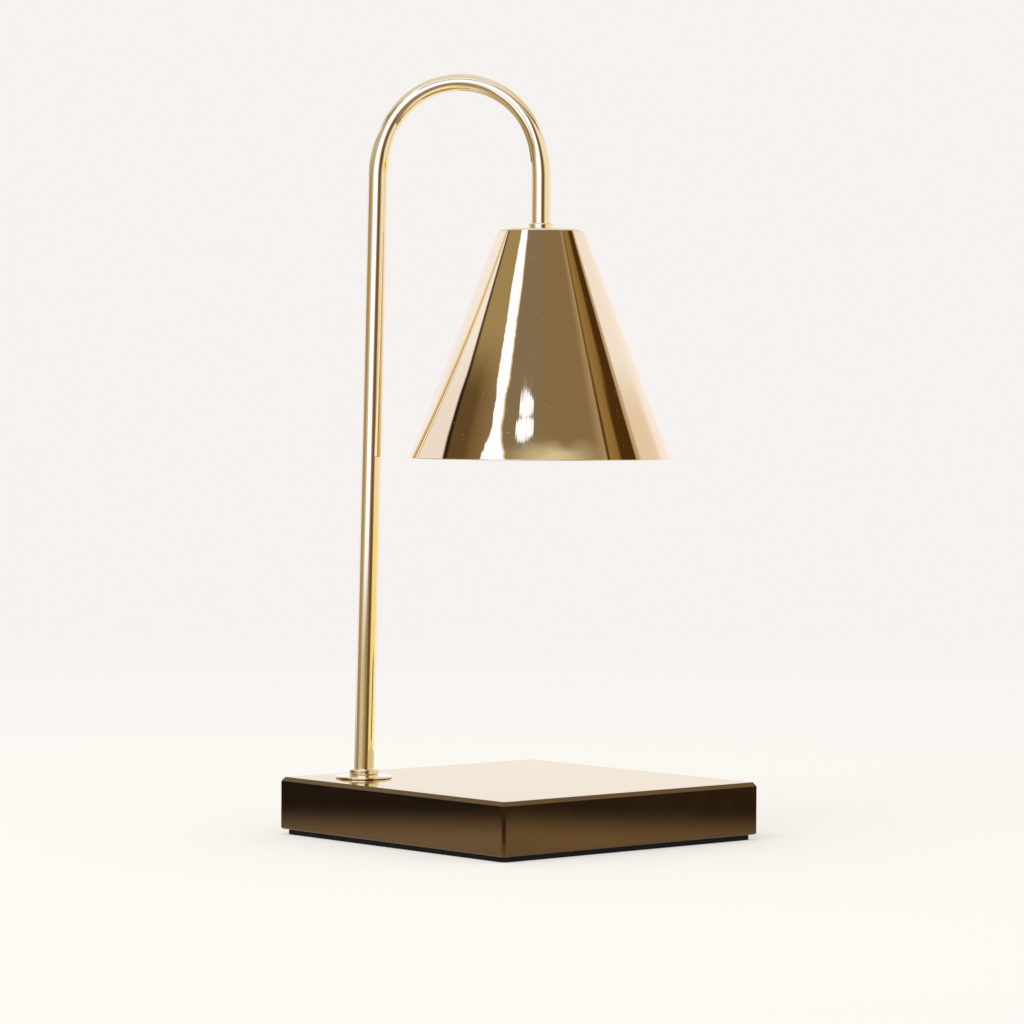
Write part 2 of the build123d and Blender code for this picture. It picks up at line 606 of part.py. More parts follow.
def bulb_burner():
    """Halogen capsule: round-ended quartz envelope with a flat pinch held in the neck."""
    throat = BULB_TOP - BULB_BASE_HEIGHT - GLASS
    radius = CAPSULE_DIAMETER / 2
    tip_rounding = 0.9 * radius
    shoulder_rounding = 0.4 * radius
    body = Pos(0, 0, throat - CAPSULE_LENGTH) * extrude(Circle(radius), CAPSULE_LENGTH)
    body = fillet(body.edges().group_by(Axis.Z)[0], tip_rounding)
    body = fillet(top_edges(body), shoulder_rounding)
    pinch_width = sqrt(NECK_BORE ** 2 - PINCH_THICKNESS ** 2) - 2 * LOOSE
    pinch_middle = throat + (PINCH_LENGTH - radius) / 2
    pinch = Pos(0, 0, pinch_middle) * Box(pinch_width, PINCH_THICKNESS, PINCH_LENGTH)
    return AT_SHADE * Rot(0, 0, LOCK_ANGLE) * (body + pinch)


def bulb_lens():
    """Front glass in the rim's rebate."""
    return AT_SHADE * disc(LENS_DIAMETER, BULB_FACE + LENS_THICKNESS - SEAT, LENS_THICKNESS - SEAT)


# ---------------------------------------------------------------- build and write
PIECES = [
    base_slab, base_pad, cord_bushing,
    foot_flange, foot_ferrule, foot_washer, foot_lock_washer, foot_nut,
    pole_tube, inner_flex,
    shade_ferrule, shade_cone, shade_washer, shade_lock_washer, shade_nut, earth_tag,
    holder_bracket, holder_cap, holder_body, holder_contacts, holder_screws,
    live_lead, neutral_lead, earth_lead,
    bulb_base, bulb_pins, bulb_reflector, bulb_burner, bulb_lens,
]

os.makedirs("parts", exist_ok=True)
for piece in PIECES:
    export_step(piece(), f"parts/{piece.__name__}.step")
print(f"pole axis x {POLE_X:.2f}, shade axis x {SHADE_X:.2f}, shade top z {SHADE_TOP:.2f}")
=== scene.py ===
"""Looks of the candle warmer lamp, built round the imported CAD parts. Metres, +Z up, in the parts' own frame.

The plated parts are mirrors, so most of the look is what they reflect. The studio is drawn in the world
shader for glossy rays alone: a pale wall behind the lamp, a dim warm room in front of it, a bright window
to the left and a pale ceiling. Matt surfaces get an even light from all round and one wide soft lamp.
"""
import bpy
from math import atan2, ceil, cos, pi, radians, sin, sqrt
from mathutils import Matrix, Vector


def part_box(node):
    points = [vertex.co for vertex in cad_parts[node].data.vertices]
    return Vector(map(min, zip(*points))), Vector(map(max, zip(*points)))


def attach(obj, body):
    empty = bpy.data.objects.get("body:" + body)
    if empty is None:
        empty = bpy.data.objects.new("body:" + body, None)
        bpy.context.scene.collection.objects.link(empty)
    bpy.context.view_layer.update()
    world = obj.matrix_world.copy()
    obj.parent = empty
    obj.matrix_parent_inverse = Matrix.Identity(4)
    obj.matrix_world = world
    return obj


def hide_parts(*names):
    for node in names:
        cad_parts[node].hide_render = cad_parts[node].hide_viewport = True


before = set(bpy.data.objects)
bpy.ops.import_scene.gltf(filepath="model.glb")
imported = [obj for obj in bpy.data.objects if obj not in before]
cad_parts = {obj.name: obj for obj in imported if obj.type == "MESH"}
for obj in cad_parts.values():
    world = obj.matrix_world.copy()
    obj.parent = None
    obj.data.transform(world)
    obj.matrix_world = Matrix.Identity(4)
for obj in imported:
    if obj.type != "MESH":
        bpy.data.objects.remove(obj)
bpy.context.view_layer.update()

# ---------------- camera
CAMERA_PLACE = (0.1000, -1.7755, 0.1891)
CAMERA_HEADING = radians(3.337)
CAMERA_PITCH = radians(1.465)  # downwards
CAMERA_ROLL = radians(0.355)
CAMERA_LENS = 141.74  # millimetres, as is the sensor
CAMERA_SENSOR = 36.0

# ---------------- sizes in metres, from the frame where it has them
MM = 0.001
UP = (0.0, 0.0, 1.0)


def middle_x(node):
    low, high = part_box(node)
    return (low.x + high.x) / 2


def width_x(node):
    low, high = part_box(node)
    return high.x - low.x


SHADE_LOW, SHADE_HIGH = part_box("shade_cone")
SHADE_X = middle_x("shade_cone")
SHADE_TOP_RADIUS = 19.25 * MM
SHADE_SHEET = 0.8 * MM
SHADE_SHOULDER = 1.4 * MM
SHADE_HOLE_RADIUS = 4.3 * MM
SHADE_EDGE = 0.28 * MM

TUBE_RADIUS = 4.5 * MM
TUBE_BORE_RADIUS = 3.3 * MM
POLE_LEAN = radians(1.05)
CROWN_RADIUS = 33.9 * MM
CROWN_TURN = radians(126)
SHOULDER_RADIUS = 53.5 * MM
SHOULDER_TURN = radians(25)
CROWN_FLATTENING = 0.12  # the bent tube is this much thinner across its bend at the crown
CROOK_START = 289.9 * MM
TUBE_DROP_FOOT = 269.6 * MM
TUBE_POLE_FOOT = 28.3 * MM
TUBE_ARC_STEP = radians(1.0)

FLANGE_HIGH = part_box("foot_flange")[1]
FLANGE_RIM = 1.0 * MM
FLANGE_EDGE = 0.35 * MM
FLANGE_HOLE_GAP = 0.3 * MM
POLE_X = middle_x("foot_flange")
SLAB_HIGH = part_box("base_slab")[1]

COLLAR_EDGE = 0.7 * MM
FOOT_COLLAR_HEIGHT = 2.4 * MM
FOOT_SHANK_RADIUS = 5.0 * MM
TOP_COLLAR_HEIGHT = 2.8 * MM
TOP_SHANK_RADIUS = 4.0 * MM
SHANK_BORE_RADIUS = 2.7 * MM
SPIGOT_RADIUS = 3.1 * MM
SOCKET_DEPTH = 1.2 * MM
SHARP = 0.05 * MM  # rounding of edges that look sharp
ROUND_STEP = radians(9)  # at most this much turn between the rows of a rounded edge
SHARP_STEP = radians(46)  # the same for an edge that looks sharp

BULB_LOW, BULB_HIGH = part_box("bulb_reflector")
BOWL_RADIUS = 41.0 * MM
BULB_GLASS = 1.6 * MM
BULB_RIM_HEIGHT = 4.0 * MM
BULB_MOUTH_RADIUS = 22.85 * MM
LENS_SEAT = 2.0 * MM
BULB_RIM_OVERHANG = 0.8 * MM
BULB_SHOULDER_RADIUS = 12.0 * MM
BULB_SHOULDER = 210.5 * MM
BULB_THROAT = 208.9 * MM
BULB_EDGE = 0.3 * MM
NECK_RADIUS = 8.0 * MM
NECK_BORE_RADIUS = 4.8 * MM
FACET_COLUMNS = 36
FACET_ROWS = 8
FACET_DEPTH = 0.12 * MM
FACET_COLUMN_STEPS = 8
FACET_ROW_STEPS = 6
BOWL_OUTER_STEPS = 24
BOWL_END_SHARE = 0.01  # the share of the bowl's arc that is left out at each end
COIL_MIDDLE = 199.5 * MM
COIL_RADIUS = 0.8 * MM
COIL_TURNS = 8.5
COIL_TURN_STEPS = 20
COIL_FLARE_TURNS = 0.35  # the coil's ends open out to the legs over this much of a turn
COIL_PITCH = 0.5 * MM
COIL_LEGS_RADIUS = 1.6 * MM
COIL_LEGS_TOP = 208.0 * MM
COIL_ARCH_STEPS = 12
COIL_WIRE_RADIUS = 0.13 * MM
COIL_WIRE_SIDES = 8

# ---------------- colours, linear
WALL = (0.92, 0.888, 0.87)
TABLE_NEAR = (0.985, 0.955, 0.91)
EVEN_LIGHT = (0.86, 0.85, 0.84)
GOLD = (0.93, 0.79, 0.52)
STONE_CLOUDS = [
    (0.30, (0.0050, 0.0035, 0.0024)), (0.52, (0.0075, 0.0050, 0.0032)), (0.74, (0.0125, 0.0080, 0.0046)),
]
STONE_FLECK = (0.045, 0.030, 0.018)
STONE_POLISH = (1.0, 0.50, 0.14)
WAX = (1.0, 0.90, 0.40)
THREAD_FUZZ = (0.6, 0.58, 0.52)

# ---------------- finishes
GOLD_POLISHED = 0.012  # roughness
GOLD_SMUDGED = 0.055  # roughness
STONE_IOR = 2.10
WAX_IOR = 1.16
WAX_ROUGHNESS = 0.05
GLASS_IOR = 1.5


# ---------------- shader helpers
class Tree:
    """Adds nodes to a shader tree in one call each, with sockets or plain values as inputs."""

    def __init__(self, tree):
        self.nodes = tree.nodes
        self.links = tree.links
        self.nodes.clear()

    def add(self, kind, inputs=None, **settings):
        node = self.nodes.new(kind)
        for name, value in settings.items():
            setattr(node, name, value)
        for key, value in (inputs or {}).items():
            self.feed(node.inputs[key], value)
        return node

    def feed(self, socket, value):
        if isinstance(value, bpy.types.NodeSocket):
            self.links.new(value, socket)
        else:
            socket.default_value = value

    def math(self, operation, a, b=0.0, clamp=False):
        node = self.add("ShaderNodeMath", {0: a, 1: b}, operation=operation, use_clamp=clamp)
        return node.outputs[0]

    def vector(self, operation, a, b=(0.0, 0.0, 0.0), output=0):
        return self.add("ShaderNodeVectorMath", {0: a, 1: b}, operation=operation).outputs[output]

    def dot(self, a, b):
        return self.vector("DOT_PRODUCT", a, b, output=1)

    def scaled(self, coordinates, factors):
        return self.vector("MULTIPLY", coordinates, factors)

    def position(self):
        return self.add("ShaderNodeTexCoord").outputs["Object"]

    def noise(self, coordinates, scale, detail=3.0, roughness=0.5, distortion=0.0):
        """Noise with about as many waves in each unit of the coordinates as scale says."""
        inputs = {
            "Vector": coordinates, "Scale": scale, "Detail": detail,
            "Roughness": roughness, "Distortion": distortion,
        }
        return self.add("ShaderNodeTexNoise", inputs).outputs[0]

    def step(self, value, low, high, to_low=0.0, to_high=1.0):
        """Smooth rise from to_low at low to to_high at high."""
        inputs = {0: value, 1: low, 2: high, 3: to_low, 4: to_high}
        return self.add("ShaderNodeMapRange", inputs, interpolation_type="SMOOTHSTEP").outputs[0]

    def spread(self, value, to_low, to_high):
        """A noise value, mostly between 0.3 and 0.7, spread out to a range."""
        inputs = {0: value, 1: 0.3, 2: 0.7, 3: to_low, 4: to_high}
        return self.add("ShaderNodeMapRange", inputs).outputs[0]

    def mix(self, factor, a, b):
        """Colour a where the factor is 0 and b where it is 1."""
        return self.add("ShaderNodeMix", {0: factor, 6: shade(a), 7: shade(b)}, data_type="RGBA").outputs[2]

    def ramp(self, factor, stops):
        """Colour ramp through (place, colour) stops."""
        node = self.add("ShaderNodeValToRGB", {0: factor})
        elements = node.color_ramp.elements
        while len(elements) < len(stops):
            elements.new(1.0)
        for element, (place, colour) in zip(elements, stops):
            element.position = place
            element.color = shade(colour)
        return node.outputs[0]

    def bump(self, height, distance, normal=None):
        """Normals of a relief that is distance deep, on top of another normal if there is one."""
        inputs = {"Height": height, "Distance": distance, "Strength": 1.0}
        if normal is not None:
            inputs["Normal"] = normal
        return self.add("ShaderNodeBump", inputs).outputs[0]


def shade(colour):
    """A colour with its alpha, or a socket as it is."""
    if isinstance(colour, bpy.types.NodeSocket) or len(colour) == 4:
        return colour
    return (*colour, 1.0)


def new_material(name):
    material = bpy.data.materials.new(name)
    material.use_nodes = True
    return material, Tree(material.node_tree)


def principled(tree, **inputs):
    """Principled shader with its inputs given by name."""
    names = {
        "colour": "Base Color", "metallic": "Metallic", "roughness": "Roughness", "ior": "IOR",
        "normal": "Normal", "coat": "Coat Weight", "transmission": "Transmission Weight",
        "sheen": "Sheen Weight", "specular": "Specular IOR Level", "tint": "Specular Tint",
    }
    values = {
        names[key]: shade(value) if key in ("colour", "tint") else value for key, value in inputs.items()
    }
    return tree.add("ShaderNodeBsdfPrincipled", values).outputs[0]


def surface(tree, **inputs):
    """Principled shader to the material's output."""
    tree.add("ShaderNodeOutputMaterial", {"Surface": principled(tree, **inputs)})


# ---------------- materials
def gold_plate(name, waviness):
    """Light gold mirror plating on thin metal that isn't quite even."""
    material, tree = new_material(name)
    place = tree.position()
    smudges = tree.noise(place, 55.0, detail=4.0, roughness=0.6)
    scuffs = tree.noise(tree.scaled(place, (1.0, 1.0, 0.12)), 900.0, detail=2.0)
    cloudy = tree.math("MULTIPLY", tree.step(smudges, 0.5, 0.75), tree.step(scuffs, 0.35, 0.7))
    swell = tree.noise(tree.scaled(place, (1.0, 1.0, 0.55)), 62.0, detail=1.5, roughness=0.4)
    pits = tree.step(tree.noise(place, 1500.0, detail=1.0), 0.78, 0.86)
    waves = tree.bump(swell, waviness)
    normal = tree.bump(pits, 0.02 * MM, normal=waves)
    roughness = tree.add("ShaderNodeMapRange", {0: cloudy, 3: GOLD_POLISHED, 4: GOLD_SMUDGED}).outputs[0]
    surface(tree, colour=GOLD, metallic=1.0, roughness=roughness, normal=normal)
    return material


def polished_stone():
    """Near-black brown stone with faint clouds and fine grains, polished, under a thin film of amber wax."""
    material, tree = new_material("polished_stone")
    place = tree.position()
    clouds = tree.noise(place, 38.0, detail=6.0, roughness=0.62, distortion=0.6)
    flecks = tree.step(tree.noise(place, 1900.0, detail=2.0, roughness=0.7), 0.70, 0.80)
    colour = tree.mix(tree.math("MULTIPLY", flecks, 0.4), tree.ramp(clouds, STONE_CLOUDS), STONE_FLECK)
    haze = tree.spread(tree.noise(place, 120.0, detail=5.0), 0.065, 0.080)
    ripple = tree.bump(tree.noise(place, 420.0, detail=2.0), 0.0025 * MM)
    stone = principled(tree, colour=colour, roughness=haze, ior=STONE_IOR, tint=STONE_POLISH, normal=ripple)
    wax_inputs = {"Color": shade(WAX), "Roughness": WAX_ROUGHNESS, "Normal": ripple}
    wax = tree.add("ShaderNodeBsdfGlossy", wax_inputs).outputs[0]
    film = tree.add("ShaderNodeFresnel", {"IOR": WAX_IOR, "Normal": ripple}).outputs[0]
    waxed = tree.add("ShaderNodeMixShader", {0: film, 1: stone, 2: wax}).outputs[0]
    tree.add("ShaderNodeOutputMaterial", {"Surface": waxed})
    return material


def foam_pad():
    """Matt black foam rubber with open cells."""
    material, tree = new_material("foam_pad")
    place = tree.position()
    cells = tree.add("ShaderNodeTexVoronoi", {"Vector": place, "Scale": 2600.0}).outputs["Distance"]
    dust = tree.noise(place, 300.0, detail=5.0, roughness=0.7)
    colour = tree.ramp(dust, [(0.35, (0.006, 0.006, 0.006)), (0.75, (0.016, 0.015, 0.014))])
    normal = tree.bump(cells, 0.08 * MM)
    surface(tree, colour=colour, roughness=0.88, specular=0.3, normal=normal)
    return material


def moulded_plastic(name, colour, spark_scale=1400.0):
    """Moulded plastic or rubber with a fine spark-eroded grain."""
    material, tree = new_material(name)
    place = tree.position()
    grain = tree.noise(place, spark_scale, detail=3.0, roughness=0.6)
    worn = tree.noise(place, 160.0, detail=4.0)
    worn_gain, worn_lift = 2.2, 0.004
    lighter = tuple(worn_gain * channel + worn_lift for channel in colour)
    tint = tree.ramp(worn, [(0.4, colour), (0.8, lighter)])
    roughness = tree.spread(worn, 0.38, 0.55)
    surface(tree, colour=tint, roughness=roughness, normal=tree.bump(grain, 0.03 * MM))
    return material


def zinc_plate():
    """Bright zinc plating on pressed steel, with rolling lines and faint yellowish clouds."""
    material, tree = new_material("zinc_plate")
    place = tree.position()
    lines = tree.noise(tree.scaled(place, (6.0, 0.25, 6.0)), 900.0, detail=2.0)
    clouds = tree.noise(place, 210.0, detail=4.0)
    colour = tree.ramp(clouds, [(0.35, (0.60, 0.61, 0.60)), (0.7, (0.70, 0.68, 0.62))])
    roughness = tree.spread(lines, 0.2, 0.34)
    surface(tree, colour=colour, metallic=1.0, roughness=roughness, normal=tree.bump(lines, 0.006 * MM))
    return material


def soft_metal(name, dull, bright, low_roughness):
    """Pressed or turned soft metal, a little tarnished: dull and rougher in places."""
    tarnish_roughness = low_roughness + 0.14
    material, tree = new_material(name)
    place = tree.position()
    tarnish = tree.noise(place, 340.0, detail=5.0, roughness=0.65)
    colour = tree.ramp(tarnish, [(0.32, dull), (0.68, bright)])
    roughness = tree.spread(tarnish, tarnish_roughness, low_roughness)
    scratches = tree.noise(tree.scaled(place, (1.0, 1.0, 0.1)), 2600.0, detail=2.0)
    surface(tree, colour=colour, metallic=1.0, roughness=roughness, normal=tree.bump(scratches, 0.004 * MM))
    return material


def fired_ceramic(name, colour, speck, glazed):
    """White ceramic: biscuit with fine specks, or the same under a clear glaze."""
    material, tree = new_material(name)
    place = tree.position()
    body = tree.noise(place, 260.0, detail=5.0, roughness=0.6)
    specks = tree.step(tree.noise(place, 2100.0, detail=1.0), 0.70, 0.78)
    clay = tree.ramp(body, [(0.3, speck), (0.6, colour)])
    tint = tree.mix(tree.math("MULTIPLY", specks, 0.55), clay, speck)
    pores = tree.noise(place, 1700.0, detail=3.0, roughness=0.7)
    roughness = tree.spread(body, 0.22, 0.32) if glazed else tree.spread(body, 0.55, 0.72)
    relief = tree.bump(pores, 0.008 * MM if glazed else 0.02 * MM)
    surface(tree, colour=tint, roughness=roughness, coat=0.6 if glazed else 0.0, normal=relief)
    return material


def braided_sleeve(name, colour, stripe):
    """Glass-fibre sleeving: two sets of threads that cross, with a second colour wound in."""
    threads_up, threads_across = 5200.0, 2600.0  # radians of the weave to the metre
    stripe_rate = 0.25  # the second colour comes and goes once in four threads
    material, tree = new_material(name)
    place = tree.position()
    twist = tree.math("MULTIPLY", tree.dot(place, UP), threads_up)
    across = tree.dot(place, (threads_across, threads_across, 0.0))
    winding = tree.math("ADD", twist, across)
    one_way = tree.math("SINE", winding)
    other_way = tree.math("SINE", tree.math("SUBTRACT", twist, across))
    weave = tree.math("MULTIPLY", one_way, other_way)
    wound = tree.step(tree.math("SINE", tree.math("MULTIPLY", winding, stripe_rate)), -0.1, 0.1)
    fuzz = tree.noise(place, 3000.0, detail=3.0)
    tint = tree.mix(wound, colour, stripe)
    tint = tree.mix(tree.spread(fuzz, 0.0, 0.25), tint, THREAD_FUZZ)
    surface(tree, colour=tint, roughness=0.72, sheen=0.3, normal=tree.bump(weave, 0.06 * MM))
    return material


def clear_glass(name, tint, ripple):
    """Clear pressed glass with a slight ripple."""
    material, tree = new_material(name)
    place = tree.position()
    flow = tree.noise(place, 190.0, detail=2.0)
    smears = tree.spread(tree.noise(place, 420.0, detail=4.0), 0.0, 0.04)
    relief = tree.bump(flow, ripple)
    surface(tree, colour=tint, roughness=smears, ior=GLASS_IOR, transmission=1.0, normal=relief)
    return material


def mirror_glass():
    """Aluminised pressed glass, its coating a little uneven."""
    material, tree = new_material("mirror_glass")
    place = tree.position()
    coat = tree.noise(place, 240.0, detail=4.0)
    colour = tree.ramp(coat, [(0.35, (0.80, 0.81, 0.83)), (0.7, (0.90, 0.90, 0.89))])
    roughness = tree.spread(coat, 0.05, 0.12)
    relief = tree.bump(tree.noise(place, 700.0, detail=2.0), 0.01 * MM)
    surface(tree, colour=colour, metallic=1.0, roughness=roughness, normal=relief)
    return material


# ---------------- meshes
def add_object(name, data):
    """A new object in the scene."""
    piece = bpy.data.objects.new(name, data)
    bpy.context.scene.collection.objects.link(piece)
    return piece


def round_angles(count):
    """Evenly spaced angles all the way round."""
    return [2 * pi * index / count for index in range(count)]


def corner_arc(here, before, after, rounding):
    """Points and outward normals round one corner, from the directions to its two neighbours."""
    normal_in = Vector((-before.y, before.x))
    normal_out = Vector((after.y, -after.x))
    convex = normal_in.x * normal_out.y - normal_in.y * normal_out.x > 0
    half = before.angle(after) / 2
    centre = here + (before + after).normalized() * (rounding / sin(half))
    turn = pi - 2 * half
    steps = ceil(turn / (ROUND_STEP if rounding > 2 * SHARP else SHARP_STEP))
    arc = []
    for step in range(steps + 1):
        angle = turn * step / steps * (1 if convex else -1)
        normal = Matrix.Rotation(angle, 2) @ normal_in
        arc.append((centre + normal * (rounding if convex else -rounding), normal))
    return arc


def rounded_outline(corners, closed=True):
    """Points and outward normals along an anticlockwise outline in (radius, height).

    Each corner is (radius, height, rounding, rows): rows is how many strips its next side is cut into.
    """
    points = []
    count = len(corners)
    for index, (x, z, rounding, rows) in enumerate(corners):
        here = Vector((x, z))
        before = (Vector(corners[index - 1][:2]) - here).normalized()
        after = (Vector(corners[(index + 1) % count][:2]) - here).normalized()
        if not closed and index in (0, count - 1):
            along = after if index == 0 else -before
            points.append((here, Vector((along.y, -along.x)), rows))
            continue
        arc = corner_arc(here, before, after, rounding)
        points += [(point, normal, 1) for point, normal in arc[:-1]]
        points.append((*arc[-1], rows))
    placed = []
    for index, (point, normal, rows) in enumerate(points):
        following = points[(index + 1) % len(points)][0]
        last = not closed and index == len(points) - 1
        for row in range(1 if last else rows):
            placed.append((point.lerp(following, row / rows), normal))
    return placed


def skin(name, rings, normals):
    """A smooth mesh through rings with the same number of points each, the last ring joined to the first."""
    points = [point for ring in rings for point in ring]
    faces = []
    ring_size = len(rings[0])
    for ring in range(len(rings)):
        here = ring * ring_size
        following = ((ring + 1) % len(rings)) * ring_size
        for index in range(ring_size):
            beside = (index + 1) % ring_size
            faces.append((here + index, here + beside, following + beside, following + index))
    mesh = bpy.data.meshes.new(name)
    mesh.from_pydata(points, [], faces)
    mesh.shade_smooth()
    mesh.normals_split_custom_set_from_vertices([normal for ring in normals for normal in ring])
    return add_object(name, mesh)


def lathe(name, corners, axis_x, segments):
    """A body turned about an upright axis from a closed outline."""
    rings, normals = [], []
    turns = round_angles(segments)
    for point, normal in rounded_outline(corners):
        rings.append([(axis_x + point.x * cos(a), point.x * sin(a), point.y) for a in turns])
        normals.append([(normal.x * cos(a), normal.x * sin(a), normal.y) for a in turns])
    return skin(name, rings, normals)


def arm_line():
    """The tube's centreline from the drop leg's foot over the crook to the pole's foot.

    Gives (point, direction, flattening) for each ring, the arcs in steps of about a degree.
    """
    place = Vector((SHADE_X, 0.0, CROOK_START))
    heading = Vector(UP)
    back_turn = pi - POLE_LEAN - SHOULDER_TURN - CROWN_TURN
    stations = [(Vector((SHADE_X, 0.0, TUBE_DROP_FOOT)), heading, 0.0), (place, heading, 0.0)]
    arcs = [
        (SHOULDER_RADIUS, SHOULDER_TURN, 0.0, 1.0),
        (CROWN_RADIUS, CROWN_TURN, 1.0, 1.0),
        (SHOULDER_RADIUS, back_turn, 1.0, 0.0),
    ]
    for radius, turn, from_flat, to_flat in arcs:
        steps = ceil(turn / TUBE_ARC_STEP)
        centre = place + Vector((-heading.z, 0.0, heading.x)) * radius
        start = place - centre
        for step in range(1, steps + 1):
            share = step / steps
            turned = Matrix.Rotation(-turn * share, 3, "Y")
            ease = share * share * (3 - 2 * share)
            flat = CROWN_FLATTENING * (from_flat + (to_flat - from_flat) * ease)
            stations.append((centre + turned @ start, turned @ heading, flat))
        place, heading = stations[-1][:2]
    reach = (place.z - TUBE_POLE_FOOT) / -heading.z
    stations.append((place + heading * reach, heading, 0.0))
    return stations


def tube_rings(stations, radius, segments, inward=False):
    """Rings of points and normals round the arm's centreline.

    Where the tube is flattened, its outer side stays where it is and its inner side comes nearer.
    """
    rings, normals = [], []
    side = Vector((0.0, 1.0, 0.0))
    for place, heading, flat in stations:
        across = side.cross(heading)
        squeeze = TUBE_RADIUS * flat
        thin = radius - squeeze
        centre = place + across * squeeze
        ring, ring_normals = [], []
        for angle in round_angles(segments):
            ring.append(centre + across * (thin * cos(angle)) + side * (radius * sin(angle)))
            normal = (across * (radius * cos(angle)) + side * (thin * sin(angle))).normalized()
            ring_normals.append(-normal if inward else normal)
        rings.append(ring)
        normals.append(ring_normals)
    return rings, normals


def dress(piece, material, body, slot_name, *nodes):
    """Gives a piece its material and body, and hides the parts that it stands for. Its slot name is not used.
    """
    piece.data.materials.append(material)
    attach(piece, body)
    if nodes:
        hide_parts(*nodes)
    return piece


def shade_skin(material):
    """The cone of thin sheet with a rounded shoulder and a softened rim."""
    rim = width_x("shade_cone") / 2
    height = SHADE_HIGH.z - SHADE_LOW.z
    slope = atan2(rim - SHADE_TOP_RADIUS, height)
    wall = SHADE_SHEET / cos(slope)
    low, high = SHADE_LOW.z, SHADE_HIGH.z
    inner_top = SHADE_TOP_RADIUS - SHADE_SHEET * (1 - sin(slope)) / cos(slope)
    corners = [
        (rim - wall, low, SHADE_EDGE, 1),
        (rim, low, SHADE_EDGE, 48),
        (SHADE_TOP_RADIUS, high, SHADE_SHOULDER, 1),
        (SHADE_HOLE_RADIUS, high, SHADE_EDGE, 1),
        (SHADE_HOLE_RADIUS, high - SHADE_SHEET, SHADE_EDGE, 1),
        (inner_top, high - SHADE_SHEET, SHADE_SHOULDER - SHADE_SHEET, 24),
    ]
    piece = lathe("shade_skin", corners, SHADE_X, segments=384)
    return dress(piece, material, "lamp", "gold_plate", "shade_cone")


def tube_skin(material):
    """The bent tube, a wall that ends inside the ferrules."""
    stations = arm_line()
    segments = 96
    outer, outer_normals = tube_rings(stations, TUBE_RADIUS, segments)
    inner, inner_normals = tube_rings(stations, TUBE_BORE_RADIUS, segments, inward=True)
    rings = outer + inner[::-1]
    normals = outer_normals + inner_normals[::-1]
    piece = skin("tube_skin", rings, normals)
    return dress(piece, material, "lamp", "gold_plate", "pole_tube")


def flange_skin(material):
    """Thin disc on the slab, coned up to the collar, its outer edge rounded over."""
    edge = width_x("foot_flange") / 2
    collar = width_x("foot_ferrule") / 2
    low, high = SLAB_HIGH.z, FLANGE_HIGH.z
    hole = FOOT_SHANK_RADIUS + FLANGE_HOLE_GAP
    corners = [
        (hole, low, SHARP, 1), (edge, low, FLANGE_EDGE, 1), (edge, low + FLANGE_RIM, FLANGE_EDGE, 6),
        (collar, high, SHARP, 1), (hole, high, SHARP, 1),
    ]
    piece = lathe("flange_skin", corners, POLE_X, segments=256)
    return dress(piece, material, "lamp", "gold_plate", "foot_flange")


def ferrule_skin(name, node, material, axis_x, foot, collar_height, shank_radius):
    """Turned ferrule: hollow shank, round-edged collar with the tube's socket, and the spigot in the tube."""
    low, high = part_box(node)
    collar = width_x(node) / 2
    top = foot + collar_height
    seat = top - SOCKET_DEPTH
    socket = TUBE_RADIUS + SHARP
    corners = [
        (SHANK_BORE_RADIUS, low.z, SHARP, 1), (shank_radius, low.z, 4 * SHARP, 1),
        (shank_radius, foot, SHARP, 1), (collar, foot, COLLAR_EDGE, 1), (collar, top, COLLAR_EDGE, 1),
        (socket, top, 2 * SHARP, 1), (socket, seat, SHARP, 1), (SPIGOT_RADIUS, seat, SHARP, 1),
        (SPIGOT_RADIUS, high.z, SHARP, 1), (SHANK_BORE_RADIUS, high.z, SHARP, 1),
    ]
    piece = lathe(name, corners, axis_x, segments=192)
    return dress(piece, material, "lamp", "gold_plate", node)


def arc_points(start, end, radius, steps, inside):
    """Points and normals along an arc in (radius, height) that bulges away from the axis, ends left out.

    The normals point away from the arc's centre, or towards it where the arc is the inside of a wall.
    """
    start, end = Vector(start), Vector(end)
    chord = end - start
    to_centre = Vector((-chord.y, chord.x)).normalized()
    if to_centre.x > 0:
        to_centre = -to_centre
    centre = (start + end) / 2 + to_centre * sqrt(radius * radius - chord.length_squared / 4)
    from_angle = atan2(start.y - centre.y, start.x - centre.x)
    to_angle = atan2(end.y - centre.y, end.x - centre.x)
    placed = []
    for step in range(steps + 1):
        share = BOWL_END_SHARE + (1 - 2 * BOWL_END_SHARE) * step / steps
        angle = from_angle + (to_angle - from_angle) * share
        outward = Vector((cos(angle), sin(angle)))
        placed.append((centre + outward * radius, -outward if inside else outward))
    return placed


def pillow(share):
    """Height and slope of a pillow over one facet, for a share of the way across it."""
    seam = 1e-6  # flat this close to the seam between two pillows, where their slopes meet
    if share < seam or share > 1 - seam:
        return 0.0, 0.0
    return 4 * share * (1 - share), 4 - 8 * share


def faceted_ring(point, normal, row_share, row_length, segments):
    """A ring of the bowl's inner wall, raised into one row of pillow facets."""
    along = Vector((-normal.y, normal.x))
    height_along, slope_along = pillow(row_share)
    ring, normals = [], []
    for index, angle in enumerate(round_angles(segments)):
        height_round, slope_round = pillow(FACET_COLUMNS * index / segments % 1.0)
        raised = point + normal * (FACET_DEPTH * height_along * height_round)
        tilt_along = FACET_DEPTH * slope_along * height_round / row_length
        tilt_round = FACET_DEPTH * slope_round * height_along * FACET_COLUMNS / (2 * pi * point.x)
        tilted = normal - along * tilt_along
        ring.append((SHADE_X + raised.x * cos(angle), raised.x * sin(angle), raised.y))
        facing = Vector((tilted.x * cos(angle), tilted.x * sin(angle), tilted.y))
        facing -= Vector((-sin(angle), cos(angle), 0.0)) * tilt_round
        normals.append(facing.normalized())
    return ring, normals


